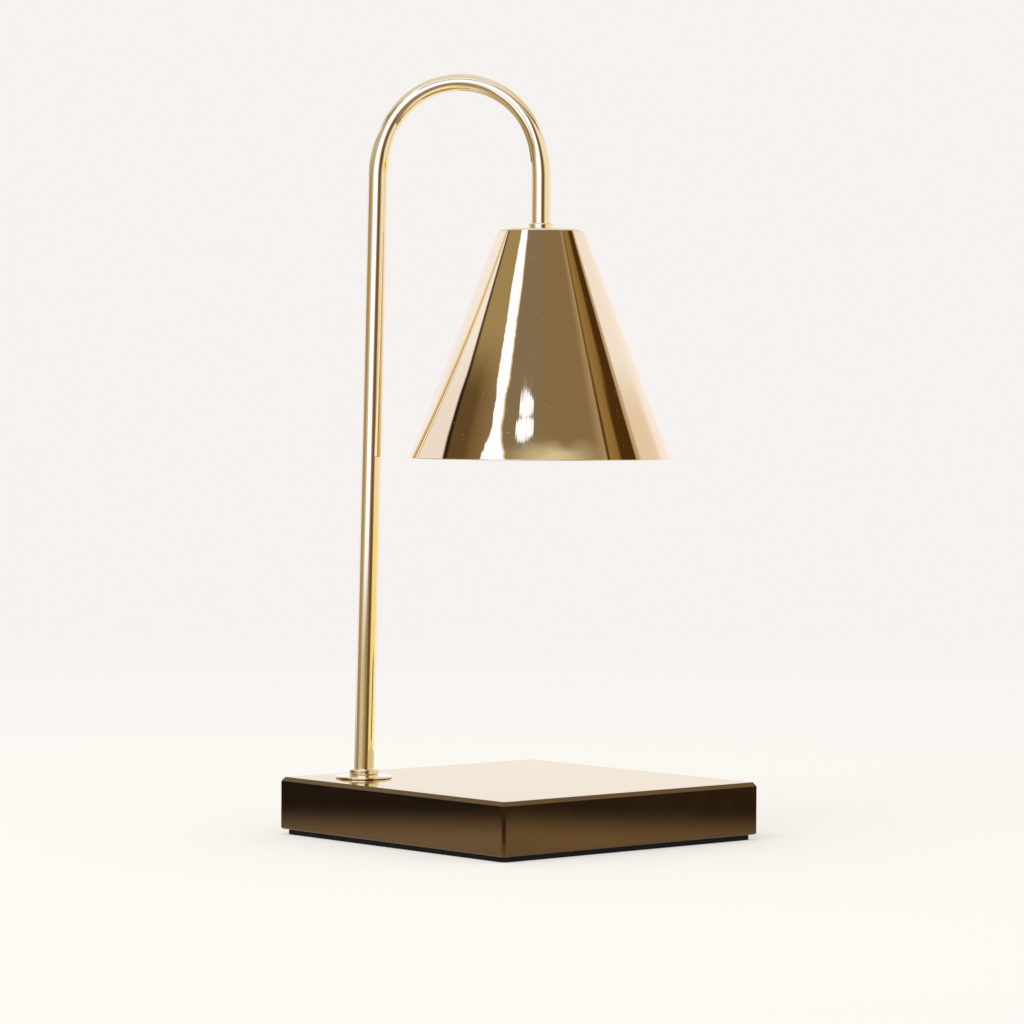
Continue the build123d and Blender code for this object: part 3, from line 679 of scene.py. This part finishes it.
def reflector_walls():
    """The bowl's smooth wall (rim, outside and neck) and its inner wall, as points and normals."""
    rim = width_x("bulb_reflector") / 2
    low, high = BULB_LOW.z, BULB_HIGH.z
    rim_top = low + BULB_RIM_HEIGHT
    seat = low + LENS_SEAT
    bowl_foot = (rim - BULB_RIM_OVERHANG, rim_top)
    bowl_head = (BULB_SHOULDER_RADIUS, BULB_SHOULDER)
    throat = (NECK_BORE_RADIUS, BULB_THROAT)
    seat_edge = (BULB_MOUTH_RADIUS - BULB_GLASS, seat)
    rim_side = rounded_outline([
        (*seat_edge, 0.0, 1), (BULB_MOUTH_RADIUS, seat, SHARP, 1), (BULB_MOUTH_RADIUS, low, BULB_EDGE, 1),
        (rim, low, BULB_EDGE, 1), (rim, rim_top, BULB_EDGE, 1), (*bowl_foot, 0.0, 1),
    ], closed=False)
    outer = arc_points(bowl_foot, bowl_head, BOWL_RADIUS, BOWL_OUTER_STEPS, inside=False)
    neck = rounded_outline([
        (*bowl_head, 0.0, 1), (NECK_RADIUS, BULB_SHOULDER, SHARP, 1), (NECK_RADIUS, high, SHARP, 1),
        (NECK_BORE_RADIUS, high, SHARP, 1), (*throat, 0.0, 1),
    ], closed=False)
    inner = arc_points(throat, seat_edge, BOWL_RADIUS, FACET_ROWS * FACET_ROW_STEPS, inside=True)
    return rim_side + outer + neck, inner


def reflector_skin(material):
    """The bulb's pressed bowl: smooth outside, pillow facets inside, with its rim, lens seat and neck."""
    smooth, inner = reflector_walls()
    row_length = (inner[-1][0] - inner[0][0]).length / FACET_ROWS
    segments = FACET_COLUMNS * FACET_COLUMN_STEPS
    wall = [(point, normal, 0.0) for point, normal in smooth]
    wall += [(point, normal, step / FACET_ROW_STEPS % 1.0) for step, (point, normal) in enumerate(inner)]
    rings, normals = [], []
    for point, normal, row_share in wall:
        ring, ring_normals = faceted_ring(point, normal, row_share, row_length, segments)
        rings.append(ring)
        normals.append(ring_normals)
    piece = skin("reflector_skin", rings, normals)
    return dress(piece, material, "bulb", "bulb_reflector_glass", "bulb_reflector")


def coil_line():
    """The filament as a closed loop: coil, leg, arch in the pinch, leg. Gives (point, outward) pairs."""
    line = []
    axis = Vector((SHADE_X, 0.0, 0.0))
    coil_foot = COIL_MIDDLE - COIL_PITCH * COIL_TURNS / 2
    steps = round(COIL_TURN_STEPS * COIL_TURNS)
    for step in range(steps + 1):
        turns = COIL_TURNS * step / steps
        angle = pi + 2 * pi * turns
        from_end = min(turns, COIL_TURNS - turns)
        flare = max(0.0, 1 - from_end / COIL_FLARE_TURNS)
        radius = COIL_RADIUS + (COIL_LEGS_RADIUS - COIL_RADIUS) * flare
        outward = Vector((cos(angle), sin(angle), 0.0))
        height = Vector((0.0, 0.0, coil_foot + COIL_PITCH * turns))
        line.append((axis + height + outward * radius, outward))
    for step in range(COIL_ARCH_STEPS + 1):
        angle = pi * step / COIL_ARCH_STEPS
        outward = Vector((cos(angle), 0.0, sin(angle)))
        line.append((axis + Vector((0.0, 0.0, COIL_LEGS_TOP)) + outward * COIL_LEGS_RADIUS, outward))
    return line


def filament(material):
    """Coiled wire inside the bulb's burner."""
    line = coil_line()
    turns = round_angles(COIL_WIRE_SIDES)
    rings, normals = [], []
    for index, (point, outward) in enumerate(line):
        direction = line[(index + 1) % len(line)][0] - line[index - 1][0]
        direction.normalize()
        outward = (outward - direction * outward.dot(direction)).normalized()
        side = direction.cross(outward)
        round_wire = [outward * cos(angle) + side * sin(angle) for angle in turns]
        rings.append([point + away * COIL_WIRE_RADIUS for away in round_wire])
        normals.append(round_wire)
    piece = skin("filament", rings, normals)
    return dress(piece, material, "bulb", "pin_metal")


# ---------------- studio
ROOM_WALL = (0.98, 1.00, 1.22)  # behind the lamp, so it shows at the edges of round mirrors
SHADED_WALL = (0.90, 0.88, 1.05)
WARM_WALL = (1.00, 0.95, 1.04)
WALL_GLOW = (1.12, 1.09, 1.42)
WINDOW = (1.13, 1.26, 1.86)
CEILING = (0.83, 0.82, 0.88)
CEILING_CORNERS = (0.74, 0.70, 0.62)
LEFT_CEILING = (0.55, 0.50, 0.44)
RIGHT_CEILING = (0.70, 0.64, 0.55)
GROUND = (0.33, 0.25, 0.16)
LEFT_GROUND = (0.50, 0.40, 0.28)
RIGHT_GROUND = (0.94, 0.96, 0.80)
NIGHT = (0.034, 0.032, 0.030)
BLUE_NIGHT = (0.10, 0.11, 0.16)
INK = (0.028, 0.016, 0.008)
DEEP_AMBER = (0.070, 0.032, 0.007)
UMBER = (0.125, 0.078, 0.036)
REDWOOD = (0.200, 0.096, 0.048)
BRONZE = (0.185, 0.122, 0.055)
DUSKY = (0.240, 0.188, 0.140)
HAZEL = (0.255, 0.180, 0.106)
HONEY = (0.270, 0.165, 0.058)
AMBER = (0.330, 0.210, 0.068)
OLIVE = (0.363, 0.283, 0.154)
BUFF = (0.410, 0.310, 0.200)
TAN = (0.540, 0.420, 0.290)
SAND = (0.640, 0.590, 0.480)
GOLDEN = (0.990, 0.850, 0.380)
SHEEN = (0.920, 0.900, 0.850)
PEACH = (0.830, 0.710, 0.680)
CREAM = (0.945, 0.930, 1.100)

# What the shade's slope shows: turn, then the tone near its rim and the tone higher up
SHADE_BELT = [
    (-0.724, SHADED_WALL, ROOM_WALL),
    (-0.714, INK, DEEP_AMBER),
    (-0.692, INK, UMBER),
    (-0.680, UMBER, OLIVE),
    (-0.575, UMBER, OLIVE),
    (-0.530, BRONZE, OLIVE),
    (-0.420, HAZEL, OLIVE),
    (-0.340, HAZEL, OLIVE),
    (-0.280, DUSKY, DUSKY),
    (-0.050, DUSKY, DUSKY),
    (0.100, HAZEL, HAZEL),
    (0.430, HAZEL, HAZEL),
    (0.504, BUFF, BUFF),
    (0.512, DEEP_AMBER, UMBER),
    (0.523, DEEP_AMBER, UMBER),
    (0.534, AMBER, AMBER),
    (0.598, HONEY, HONEY),
    (0.618, DEEP_AMBER, HONEY),
    (0.645, DEEP_AMBER, DEEP_AMBER),
    (0.720, DEEP_AMBER, DEEP_AMBER),
    (0.731, TAN, TAN),
    (0.750, TAN, TAN),
    (0.764, PEACH, CREAM),
    (0.880, PEACH, CREAM),
    (0.980, CREAM, WARM_WALL),
]
# What upright mirrors show: turn, then the tone near the floor and higher up
LEVEL_BELT = [
    (-0.840, ROOM_WALL, ROOM_WALL),
    (-0.780, OLIVE, BUFF),
    (-0.560, OLIVE, BUFF),
    (-0.490, SAND, SAND),
    (-0.250, SAND, SAND),
    (-0.040, OLIVE, BUFF),
    (0.060, OLIVE, BUFF),
    (0.140, REDWOOD, REDWOOD),
    (0.270, UMBER, REDWOOD),
    (0.340, BRONZE, OLIVE),
    (0.430, GOLDEN, SHEEN),
    (0.750, GOLDEN, SHEEN),
    (0.860, ROOM_WALL, ROOM_WALL),
]
# Half the width of the bright strip on the shade's slope, from its rim up
STRIP_WIDTHS = [
    (0.00, 0.090), (0.05, 0.071), (0.13, 0.034), (0.19, 0.042), (0.26, 0.037), (0.35, 0.056),
    (0.61, 0.060), (0.75, 0.074), (0.88, 0.070), (1.00, 0.064),
]
STRIP_MIDDLE = -0.354
STRIP_RAGGED = 0.006
STRIP_FRINGE = (0.86, 0.78, 0.38)
# The two glints: turn, climb, half width and half height
GLINTS = [(-0.116, 0.236, 0.060, 0.048), (-0.124, 0.136, 0.072, 0.052)]
GLINT_SQUARENESS = 3.0
GLINT_RAGGED = (-0.28, 0.40)
GLINT_EDGE = (1.12, 0.92)  # where the soft edge ends outside and inside
TABLE_SHINE = (0.72, 0.66, 0.52)

# Leans from which and up to which a mirror is the shade's slope, with soft edges
SLOPE_FROM = (0.326, 0.333)
SLOPE_TO = (0.420, 0.412)
# How a lean near the slope's own becomes a climb, from 0 at the shade's rim to 1 at its top
SLOPE_LEAN = 0.3707
SLOPE_SQUEEZE = 1.2
CLIMB_LEAN = 0.0268
CLIMB_PER_TURN = 0.043
CLIMB_AT_SLOPE = 0.469
RIGHT_SKEW = 0.028
LEFT_BULGE = 0.015

# Rises and turns of what shows low in the room
FLOOR_RISE = -0.085
CORNER_RISE = -0.100
CORNER_TURNS = (-0.755, 0.675)
CORNER_REACH = (0.03, 0.05)  # fully dark this far out, and not at all this far
FRONT_EDGE_RISE = -0.106
FRONT_EDGE_TURN = -0.06

# The floor, in metres
FLOOR_REACH = 40.0
TABLE_EDGE = (0.07, 0.24)  # mirrors see all of the table up to the first, and none past the second
TABLE_FADE = (0.25, 1.6)  # the floor goes from the table's tone to the wall's between these
PAD_MARGIN = 4 * MM


def all_of(tree, *factors):
    """The product of factors: 1 where all of them are 1."""
    product = factors[0]
    for factor in factors[1:]:
        product = tree.math("MULTIPLY", product, factor)
    return product


def cosine(tree, sine):
    """The cosine of an angle from its sine."""
    return tree.math("SQRT", tree.math("SUBTRACT", 1.0, tree.math("MULTIPLY", sine, sine)))


def off(tree, value, middle):
    """How far a value is from the middle."""
    return tree.math("ABSOLUTE", tree.math("SUBTRACT", value, middle))


def near(tree, value, middle, full, none):
    """1 while a value is within full of the middle, 0 once it is none away."""
    return tree.step(off(tree, value, middle), none, full)


def belts(tree, turn, rows):
    """One colour socket for each column of tones along the turn."""
    share = tree.add("ShaderNodeMapRange", {0: turn, 1: -1.0, 2: 1.0, 3: 0.0, 4: 1.0}).outputs[0]
    columns = range(1, len(rows[0]))
    return [tree.ramp(share, [(row[0] / 2 + 0.5, row[column]) for row in rows]) for column in columns]


def bright_strip(tree, room, turn, climb, mirror):
    """The window's reflection down the shade's slope, a little ragged, with a yellow right-hand fringe."""
    uneven = tree.noise(tree.scaled(mirror, UP), 1500.0, detail=2.0)
    half_width = tree.ramp(climb, [(place, (width, width, width)) for place, width in STRIP_WIDTHS])
    half_width = tree.math("ADD", half_width, tree.spread(uneven, -STRIP_RAGGED, STRIP_RAGGED))
    inside = tree.math("SUBTRACT", half_width, off(tree, turn, STRIP_MIDDLE))
    right_side = tree.step(turn, STRIP_MIDDLE, STRIP_MIDDLE + 0.02)
    fringe = all_of(tree, tree.step(inside, -0.020, -0.004), right_side, 0.8)
    room = tree.mix(fringe, room, STRIP_FRINGE)
    return tree.mix(tree.step(inside, -0.004, 0.004), room, WINDOW)


def lamp_glints(tree, room, turn, climb, mirror):
    """Two nearly round white glints, one over the other, with ragged edges."""
    brushed = tree.noise(tree.scaled(mirror, (1.0, 1.0, 0.0)), 70.0, detail=1.0)
    ragged = tree.spread(brushed, *GLINT_RAGGED)
    for turn_middle, climb_middle, half_turn, half_climb in GLINTS:
        across = tree.math("DIVIDE", off(tree, turn, turn_middle), half_turn)
        along = tree.math("DIVIDE", off(tree, climb, climb_middle), half_climb)
        across = tree.math("POWER", across, GLINT_SQUARENESS)
        along = tree.math("POWER", along, GLINT_SQUARENESS)
        reach = tree.math("ADD", tree.math("ADD", across, along), ragged)
        room = tree.mix(tree.step(reach, *GLINT_EDGE), room, WINDOW)
    return room


def shade_climb(tree, turn, lean, facing):
    """How far up the shade's slope a reflection shows, from 0 at the rim to 1 at the top."""
    squeeze = tree.math("POWER", tree.math("DIVIDE", facing, cosine(tree, lean)), SLOPE_SQUEEZE)
    over_slope = tree.math("SUBTRACT", lean, SLOPE_LEAN)
    climb = tree.math("MULTIPLY", over_slope, tree.math("DIVIDE", squeeze, CLIMB_LEAN))
    climb = tree.math("ADD", climb, tree.math("MULTIPLY", turn, CLIMB_PER_TURN))
    return tree.math("ADD", climb, CLIMB_AT_SLOPE, clamp=True)


def shade_belt(tree, turn, lean, facing, mirror):
    """What the shade's slope shows: its upright tones, the table's shine, the bright strip and the glints."""
    climb = shade_climb(tree, turn, lean, facing)
    skew = all_of(tree, climb, tree.step(turn, 0.30, 0.45), RIGHT_SKEW)
    bulge = all_of(tree, near(tree, climb, 0.17, 0.05, 0.25), tree.step(turn, -0.60, -0.68), LEFT_BULGE)
    skewed = tree.math("ADD", turn, tree.math("ADD", skew, bulge))
    at_rim, higher_up = belts(tree, skewed, SHADE_BELT)
    left_blend = tree.step(climb, 0.25, 0.58)
    right_blend = tree.step(climb, 0.18, 0.48)
    on_right = tree.step(turn, 0.2, 0.4)
    blend = tree.add("ShaderNodeMix", {0: on_right, 2: left_blend, 3: right_blend}).outputs[0]
    belt = tree.mix(blend, at_rim, higher_up)
    table_shine = all_of(tree, tree.step(climb, 0.085, 0.02), near(tree, turn, 0.10, 0.0, 0.45))
    belt = tree.mix(table_shine, belt, TABLE_SHINE)
    belt = bright_strip(tree, belt, turn, climb, mirror)
    return lamp_glints(tree, belt, turn, climb, mirror)


def softbox(tree, studio, turn, lean, rise):
    """The big window that the crook and the pole show, cut off below to the right, dim towards the floor."""
    right_edge = tree.math("MINIMUM", tree.math("ADD", lean, 0.01), 0.15)
    past_left = tree.step(turn, -0.41, -0.37)
    before_right = tree.step(tree.math("SUBTRACT", right_edge, turn), -0.02, 0.02)
    over_foot = tree.step(lean, -0.26, -0.20)
    under_head = tree.step(lean, 0.52, 0.46)
    off_floor = tree.math("SUBTRACT", 1.0, near(tree, rise, FLOOR_RISE, 0.025, 0.060))
    inside = all_of(tree, past_left, before_right, over_foot, under_head, off_floor)
    return tree.mix(inside, studio, WINDOW)


def ceiling_above(tree, studio, turn, lean, to_right):
    """A dim ceiling near the horizon, then a pale one."""
    above = tree.math("SUBTRACT", lean, tree.math("MULTIPLY", to_right, 0.45))
    ceiling = tree.mix(tree.step(turn, -0.1, 0.1), LEFT_CEILING, RIGHT_CEILING)
    studio = tree.mix(tree.step(above, 0.05, 0.20), studio, ceiling)
    in_corners = tree.step(tree.math("ABSOLUTE", turn), 0.45, 0.60)
    high_ceiling = tree.mix(in_corners, CEILING, CEILING_CORNERS)
    return tree.mix(tree.step(lean, 0.42, 0.50), studio, high_ceiling)


def ground_below(tree, studio, turn, lean, to_right):
    """The ground that the crook's underside shows."""
    below = tree.math("ADD", lean, tree.math("MULTIPLY", to_right, 0.40))
    deep = tree.mix(tree.step(turn, -0.15, 0.05), LEFT_GROUND, RIGHT_GROUND)
    ground = tree.mix(tree.step(lean, -0.30, -0.42), GROUND, deep)
    return tree.mix(tree.step(below, -0.055, -0.080), studio, ground)


def dark_corners(tree, studio, turn, rise):
    """The dark corners that the slab's sides show, and the blue-black one that its front edge shows."""
    left, right = [near(tree, turn, middle, *CORNER_REACH) for middle in CORNER_TURNS]
    low = near(tree, rise, CORNER_RISE, 0.016, 0.022)
    corners = all_of(tree, low, tree.math("MAXIMUM", left, right))
    studio = tree.mix(corners, studio, NIGHT)
    low = near(tree, rise, FRONT_EDGE_RISE, 0.012, 0.016)
    front_edge = all_of(tree, low, near(tree, turn, FRONT_EDGE_TURN, *CORNER_REACH))
    return tree.mix(front_edge, studio, BLUE_NIGHT)


def wall_behind(tree, studio, turn, lean, facing):
    """The wall behind the lamp, and its low part, which the slab's top shows."""
    edge_wall = tree.mix(tree.step(turn, -0.1, 0.1), ROOM_WALL, WARM_WALL)
    studio = tree.mix(tree.step(facing, 0.42, 0.34), studio, edge_wall)
    low_behind = all_of(tree, tree.step(facing, 0.14, 0.10), tree.step(lean, 0.70, 0.85))
    return tree.mix(low_behind, studio, WALL_GLOW)


def studio_seen_in_mirrors(tree):
    """What a mirror sees in each direction.

    A direction is named by the mirror that turns the main view there: lean is the sine of that mirror's
    upward tilt and turn is the sine of its heading, from -1 at the left to 1 at the right. Facing is how
    squarely it faces the main view, and rise is the upward share of the direction itself.
    """
    ahead = (-sin(CAMERA_HEADING), cos(CAMERA_HEADING), 0.0)
    right = (cos(CAMERA_HEADING), sin(CAMERA_HEADING), 0.0)
    direction = tree.vector("NORMALIZE", tree.add("ShaderNodeTexCoord").outputs["Generated"])
    mirror = tree.vector("NORMALIZE", tree.vector("SUBTRACT", direction, ahead))
    rise = tree.dot(direction, UP)
    lean = tree.dot(mirror, UP)
    turn = tree.math("DIVIDE", tree.dot(mirror, right), cosine(tree, lean))
    facing = tree.math("MULTIPLY", tree.dot(mirror, ahead), -1.0)
    to_right = tree.math("MAXIMUM", turn, 0.0)

    near_floor, higher_up = belts(tree, turn, LEVEL_BELT)
    studio = tree.mix(near(tree, rise, FLOOR_RISE, 0.028, 0.062), higher_up, near_floor)
    studio = ceiling_above(tree, studio, turn, lean, to_right)
    studio = ground_below(tree, studio, turn, lean, to_right)
    studio = softbox(tree, studio, turn, lean, rise)
    on_slope = all_of(tree, tree.step(lean, *SLOPE_FROM), tree.step(lean, *SLOPE_TO))
    studio = tree.mix(on_slope, studio, shade_belt(tree, turn, lean, facing, mirror))
    studio = dark_corners(tree, studio, turn, rise)
    return wall_behind(tree, studio, turn, lean, facing)


def studio_world():
    """Even light for matt surfaces, the pale wall for the camera and the studio for mirrors."""
    world = bpy.data.worlds.new("studio")
    world.use_nodes = True
    tree = Tree(world.node_tree)
    rays = tree.add("ShaderNodeLightPath").outputs
    seen = tree.math("MAXIMUM", rays["Is Camera Ray"], rays["Is Transmission Ray"])
    colour = tree.mix(rays["Is Glossy Ray"], EVEN_LIGHT, studio_seen_in_mirrors(tree))
    colour = tree.mix(seen, colour, WALL)
    background = tree.add("ShaderNodeBackground", {"Color": colour})
    tree.add("ShaderNodeOutputWorld", {"Surface": background.outputs[0]})
    world.cycles.sampling_method = "NONE"
    bpy.context.scene.world = world


def pale_paper(tree, place, rays):
    """The floor's matt surface, which glows for the camera so that it looks pale all the way out."""
    distance = tree.vector("LENGTH", place, output=1)
    colour = tree.mix(tree.step(distance, *TABLE_FADE), TABLE_NEAR, WALL)
    relief = tree.bump(tree.noise(place, 600.0, detail=3.0), 0.02 * MM)
    matt = tree.add("ShaderNodeBsdfDiffuse", {"Color": colour, "Normal": relief}).outputs[0]
    backdrop = tree.add("ShaderNodeEmission", {"Color": colour}).outputs[0]
    glow = tree.math("MULTIPLY", rays["Is Camera Ray"], tree.step(distance, 0.15, 1.10, 0.40, 1.0))
    return tree.add("ShaderNodeMixShader", {0: glow, 1: matt, 2: backdrop}).outputs[0]


def clear_places(tree, place, rays):
    """1 where the floor is clear: off the table for mirrors, from below for the camera, and under the pad."""
    turned = tree.add("ShaderNodeVectorRotate", {"Vector": place, "Angle": -CAMERA_HEADING}).outputs[0]
    away = tree.vector("ABSOLUTE", turned)
    out = tree.math("MAXIMUM", tree.dot(away, (1.0, 0.0, 0.0)), tree.dot(away, (0.0, 1.0, 0.0)))
    unseen = tree.math("MULTIPLY", rays["Is Glossy Ray"], tree.step(out, *TABLE_EDGE))
    underside = tree.add("ShaderNodeNewGeometry").outputs["Backfacing"]
    below = tree.math("MULTIPLY", rays["Is Camera Ray"], underside)
    along_sides = tree.dot(tree.vector("ABSOLUTE", place), (1.0, 1.0, 0.0))
    under_pad = tree.math("LESS_THAN", along_sides, width_x("base_pad") / 2 - PAD_MARGIN)
    return tree.math("MAXIMUM", unseen, tree.math("MAXIMUM", below, under_pad))


def floor():
    """Plain pale floor, which keeps the object's shadow."""
    mesh = bpy.data.meshes.new("floor")
    signs = [(-1, -1), (1, -1), (1, 1), (-1, 1)]
    corners = [(x * FLOOR_REACH, y * FLOOR_REACH, 0) for x, y in signs]
    mesh.from_pydata(corners, [], [(0, 1, 2, 3)])
    piece = add_object("floor", mesh)
    material, tree = new_material("pale_floor")
    place = tree.position()
    rays = tree.add("ShaderNodeLightPath").outputs
    paper = pale_paper(tree, place, rays)
    gap = tree.add("ShaderNodeBsdfTransparent").outputs[0]
    mixed = tree.add("ShaderNodeMixShader", {0: clear_places(tree, place, rays), 1: paper, 2: gap})
    tree.add("ShaderNodeOutputMaterial", {"Surface": mixed.outputs[0]})
    mesh.materials.append(material)


def soft_lamp(name, place, aim, size, watts):
    """A wide soft lamp that mirrors don't show."""
    data = bpy.data.lights.new(name, "AREA")
    data.shape = "DISK"
    data.size = size
    data.energy = watts
    lamp = add_object(name, data)
    lamp.location = place
    lamp.rotation_mode = "QUATERNION"
    lamp.rotation_quaternion = (Vector(aim) - Vector(place)).to_track_quat("-Z", "Y")
    lamp.visible_glossy = False
    lamp.visible_camera = False
    lamp.visible_transmission = False


def main_camera():
    """The camera at the photograph's place, with its heading, pitch and roll."""
    data = bpy.data.cameras.new("camera")
    data.lens = CAMERA_LENS
    data.sensor_width = CAMERA_SENSOR
    camera = add_object("camera", data)
    turn = Matrix.Rotation(CAMERA_HEADING, 4, "Z") @ Matrix.Rotation(pi / 2 - CAMERA_PITCH, 4, "X")
    camera.matrix_world = Matrix.Translation(CAMERA_PLACE) @ turn @ Matrix.Rotation(CAMERA_ROLL, 4, "Z")
    bpy.context.scene.camera = camera


# ---------------- the scene
main_camera()
studio_world()
floor()
soft_lamp("key", place=(-1.1, -1.3, 2.2), aim=(0.0, 0.0, 0.1), size=1.8, watts=16.0)

sheet_gold = gold_plate("sheet_gold", waviness=0.02 * MM)
tube_gold = gold_plate("tube_gold", waviness=0.004 * MM)
steatite = fired_ceramic("steatite", (0.80, 0.78, 0.72), (0.62, 0.58, 0.50), glazed=False)

FINISHES = {
    "base_slab": polished_stone(),
    "base_pad": foam_pad(),
    "cord_bushing": moulded_plastic("bushing_plastic", (0.014, 0.014, 0.014)),
    "foot_flange": tube_gold,
    "foot_ferrule": tube_gold,
    "foot_washer": zinc_plate(),
    "inner_flex": moulded_plastic("flex_sheath", (0.022, 0.021, 0.020), spark_scale=2400.0),
    "shade_ferrule": tube_gold,
    "earth_tag": soft_metal("tinned_brass", (0.58, 0.56, 0.50), (0.74, 0.72, 0.66), 0.22),
    "holder_cap": steatite,
    "holder_body": steatite,
    "holder_contacts": soft_metal("spring_brass", (0.56, 0.40, 0.18), (0.80, 0.62, 0.34), 0.20),
    "live_lead": braided_sleeve("live_sleeve", (0.26, 0.12, 0.06), (0.33, 0.17, 0.09)),
    "neutral_lead": braided_sleeve("neutral_sleeve", (0.08, 0.19, 0.46), (0.12, 0.25, 0.52)),
    "earth_lead": braided_sleeve("earth_sleeve", (0.10, 0.36, 0.06), (0.74, 0.66, 0.06)),
    "bulb_base": fired_ceramic("glazed_ceramic", (0.88, 0.87, 0.84), (0.78, 0.76, 0.72), glazed=True),
    "bulb_pins": soft_metal("nickel", (0.60, 0.59, 0.57), (0.78, 0.77, 0.75), 0.14),
    "bulb_reflector": mirror_glass(),
    "bulb_burner": clear_glass("quartz", (0.97, 0.97, 0.97), 0.01 * MM),
    "bulb_lens": clear_glass("lens_glass", (0.95, 0.965, 0.95), 0.04 * MM),
}
ZINC_PLATED = [
    "foot_lock_washer", "foot_nut", "shade_washer", "shade_lock_washer", "shade_nut", "holder_bracket",
    "holder_screws",
]
for node in ZINC_PLATED:
    FINISHES[node] = FINISHES["foot_washer"]
for node, finish in FINISHES.items():
    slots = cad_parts[node].data.materials
    slots.clear()
    slots.append(finish)

shade_skin(sheet_gold)
tube_skin(tube_gold)
flange_skin(tube_gold)
ferrule_skin(
    "foot_ring", "foot_ferrule", tube_gold, POLE_X,
    foot=FLANGE_HIGH.z, collar_height=FOOT_COLLAR_HEIGHT, shank_radius=FOOT_SHANK_RADIUS,
)
ferrule_skin(
    "top_ring", "shade_ferrule", tube_gold, SHADE_X,
    foot=SHADE_HIGH.z, collar_height=TOP_COLLAR_HEIGHT, shank_radius=TOP_SHANK_RADIUS,
)
reflector_skin(FINISHES["bulb_reflector"])
filament(FINISHES["bulb_pins"])

view = bpy.context.scene.view_settings
view.view_transform = "Standard"
